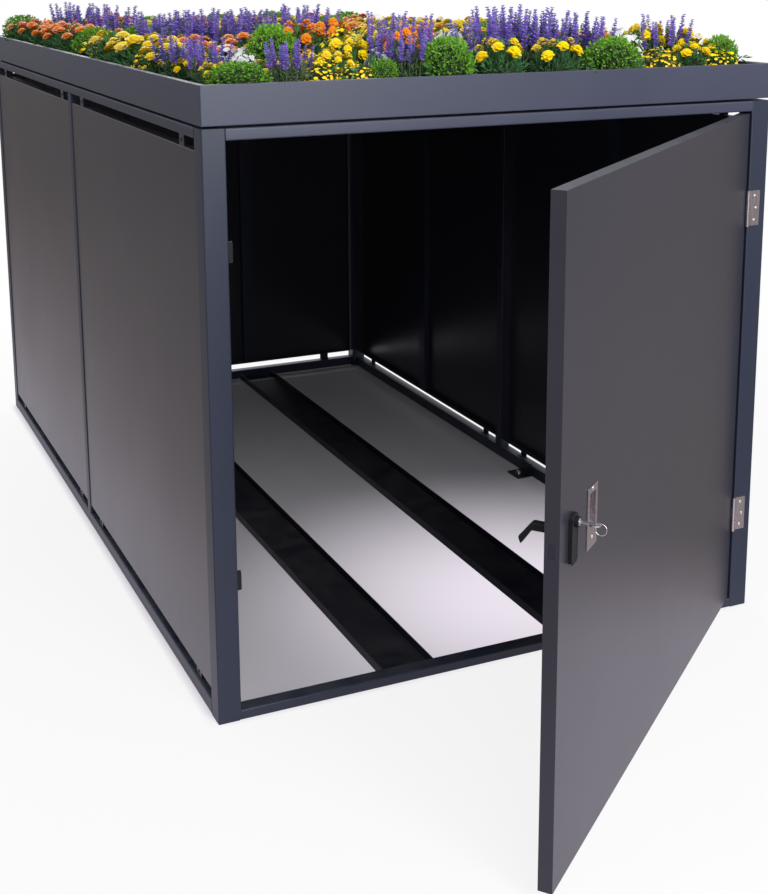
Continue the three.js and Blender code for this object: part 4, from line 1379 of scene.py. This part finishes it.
def addCamera():
    yaw, pitch, roll = (math.radians(camera[key]) for key in ("yaw", "pitch", "roll"))
    forward = Vector((math.sin(yaw) * math.cos(pitch), math.cos(yaw) * math.cos(pitch), math.sin(pitch)))
    right = Vector((math.cos(yaw), -math.sin(yaw), 0))
    up = right.cross(forward)
    right, up = (math.cos(roll) * right + math.sin(roll) * up, math.cos(roll) * up - math.sin(roll) * right)
    bpy.ops.object.camera_add(location=camera["place"])
    thing = bpy.context.object
    thing.name = "photoCamera"
    thing.rotation_euler = Matrix((right, up, -forward)).transposed().to_euler()
    longSide = camera["longSide"]
    thing.data.sensor_width = camera["sensor"]
    thing.data.lens = camera["focalPixels"] / longSide * camera["sensor"]
    thing.data.shift_y = (camera["horizonRow"] - longSide / 2) / longSide
    thing.data.clip_end = camera["farthest"]
    bpy.context.scene.camera = thing


lamps = {
    "keyLamp": {"place": (-0.5, -3.2, 3.2), "target": (-0.2, 0.2, 1.0), "size": 2.2, "power": 96},
    "sideLamp": {"place": (-3.8, -0.6, 2.8), "target": (-0.6, 0.8, 0.8), "size": 2.4, "power": 26},
    "doorLamp": {"place": (3.4, -2.0, 2.3), "target": (0.1, -0.3, 0.6), "size": 2.0, "power": 30},
    "fasciaLamp": {"place": (0.35, -3.1, 1.6), "target": (-0.4, 0.0, 1.25), "size": 1.0, "power": 42},
    "rearLamp": {"place": (0.6, 4.8, 3.2), "target": (0, 1.6, 0.8), "size": 3.0, "power": 90},
}


def addLamps():
    for name, lamp in lamps.items():
        away = Vector(lamp["target"]) - Vector(lamp["place"])
        turn = away.to_track_quat("-Z", "Y").to_euler()
        bpy.ops.object.light_add(type="AREA", location=lamp["place"], rotation=turn)
        thing = bpy.context.object
        thing.name = name
        thing.data.size = lamp["size"]
        thing.data.energy = lamp["power"]


ground = {
    "size": 60,
    "cuts": 4,
    "middle": (0, 1.09, 0),                # of the place under the locker
    "halfSizes": (0.62, 1.09),
    "softness": (0.02, 0.03),              # at its sides and its ends
    "pale": (0.86, 0.83, 0.88, 1),
    "dusk": (0.16, 0.15, 0.15, 1),
    "mottling": (6, 6),                    # scale and detail
    "mottleShare": 0.12,
    "mottleTone": (0.5, 0.5, 0.52, 1),
    "roughness": 0.8,
    "seen": (0.86, 1.0),                   # white share for the camera, near the locker and far off
    "seenMiddle": (0.1, -0.3, 0),
    "seenReach": (1.6, 4),
    "doorway": (0.2, 0.22, 0),             # middle of a painted pool of light on the ground just inside the door
    "doorwayReach": (0.05, 0.85),
    "doorwayShare": 0.84,
    "doorwayTint": (0.97, 0.9, 1, 1),
    "mirrored": (0.8, 0.14),               # white share for mirrored rays, near and far off: a painted reflection in the steel, paler beside the locker
    "mirroredFrom": 0.1,                   # how far left of the middle the near part lies
    "mirroredReach": (0.55, 1.1),
    "tints": ((0.94, 0.88, 1, 1), (1, 0.8, 0.72, 1)),
}
white = (1, 1, 1, 1)


def distance(tree, place, spot):
    return newNode(tree, "ShaderNodeVectorMath", {0: place, 1: spot}, operation="DISTANCE").outputs["Value"]


def addWhite(tree, share, plain, glow, output):
    both = newNode(tree, "ShaderNodeMixShader", {0: share, 1: plain.outputs[0], 2: glow.outputs[0]})
    tree.links.new(both.outputs[0], tree.nodes[output].inputs["Surface"])


def insideMask(tree, place):
    # one under the locker, falling to nothing just outside it
    offset = newNode(tree, "ShaderNodeVectorMath", {0: place, 1: ground["middle"]}, operation="SUBTRACT")
    offset = newNode(tree, "ShaderNodeVectorMath", {0: offset.outputs[0]}, operation="ABSOLUTE")
    sides, ends = (ranged(tree, along(tree, offset.outputs[0], axis), half + soft, half - soft)
                   for axis, half, soft in zip("XY", ground["halfSizes"], ground["softness"]))
    return times(tree, sides, ends)


def groundFinish():
    # white where the camera looks at it, with a painted pool of light on the ground just inside the door, and
    # for mirrored rays a painted reflection, paler near the locker than far off
    material, tree = newMaterial("paleGround")
    shader = tree.nodes["Principled BSDF"]
    place = objectPlace(tree)
    rays = newNode(tree, "ShaderNodeLightPath").outputs
    direct = mathNode(tree, "MAXIMUM", rays["Is Camera Ray"], rays["Is Transmission Ray"])
    inside = insideMask(tree, place)
    outside = mathNode(tree, "SUBTRACT", 1.0, inside)

    away = distance(tree, place, ground["seenMiddle"])
    openGround = ranged(tree, away, *ground["seenReach"], *ground["seen"])
    # painted light: the camera sees a glowing pool on the ground just inside the door
    away = distance(tree, place, ground["doorway"])
    doorway = ranged(tree, away, *ground["doorwayReach"], ground["doorwayShare"], 0, "SMOOTHSTEP")
    whiter = mathNode(tree, "ADD", times(tree, openGround, outside), times(tree, doorway, inside))
    seen = times(tree, direct, whiter)

    # painted reflection: mirrored rays see the ground glow most beside the locker, purplish near and warm far
    # off
    beside = mathNode(tree, "ADD", along(tree, place, "X"), ground["mirroredFrom"])
    beside = mathNode(tree, "ABSOLUTE", beside, 0.0)
    nearby = ranged(tree, beside, *ground["mirroredReach"], *ground["mirrored"], "SMOOTHSTEP")
    mirrored = times(tree, times(tree, rays["Is Glossy Ray"], nearby), outside)

    tone = mixColor(tree, mathNode(tree, "MAXIMUM", direct, inside), ground["dusk"], ground["pale"])
    mottles = times(tree, noise(tree, place, *ground["mottling"]), ground["mottleShare"])
    tree.links.new(mixColor(tree, mottles, tone, ground["mottleTone"]), shader.inputs["Base Color"])
    shader.inputs["Roughness"].default_value = ground["roughness"]
    tint = mixColor(tree, ranged(tree, beside, *ground["mirroredReach"]), *ground["tints"])
    tint = mixColor(tree, direct, tint, white)
    # the painted pool of light has its own tint
    tint = mixColor(tree, times(tree, direct, inside), tint, ground["doorwayTint"])
    glow = newNode(tree, "ShaderNodeEmission", {"Color": tint, "Strength": 1.0})
    addWhite(tree, mathNode(tree, "MAXIMUM", seen, mirrored), shader, glow, "Material Output")
    return material


def addGround():
    bpy.ops.mesh.primitive_plane_add(size=ground["size"], location=(0, 0, 0))
    thing = named("studioGround")
    editAll(thing)
    bpy.ops.mesh.subdivide(number_cuts=ground["cuts"])
    objectMode()
    dress(thing, groundFinish())


sky = {"color": (0.86, 0.9, 1.0, 1), "strength": 0.42, "mirrored": 0.25}


def addSky():
    world = bpy.data.worlds.new("studioSky")
    bpy.context.scene.world = world
    world.use_nodes = True
    tree = world.node_tree
    light = tree.nodes["Background"]
    light.inputs["Color"].default_value = sky["color"]
    light.inputs["Strength"].default_value = sky["strength"]
    glow = newNode(tree, "ShaderNodeBackground", {"Color": white, "Strength": 1.0})
    rays = newNode(tree, "ShaderNodeLightPath").outputs
    seen = mathNode(tree, "MAXIMUM", rays["Is Camera Ray"], rays["Is Transmission Ray"])
    mirrored = times(tree, rays["Is Glossy Ray"], sky["mirrored"])
    addWhite(tree, mathNode(tree, "MAXIMUM", seen, mirrored), light, glow, "World Output")


deselectAll()
addCamera()
addLamps()
addGround()
addSky()
bpy.context.scene.view_settings.view_transform = "Standard"
print("camera, lamps and ground placed")
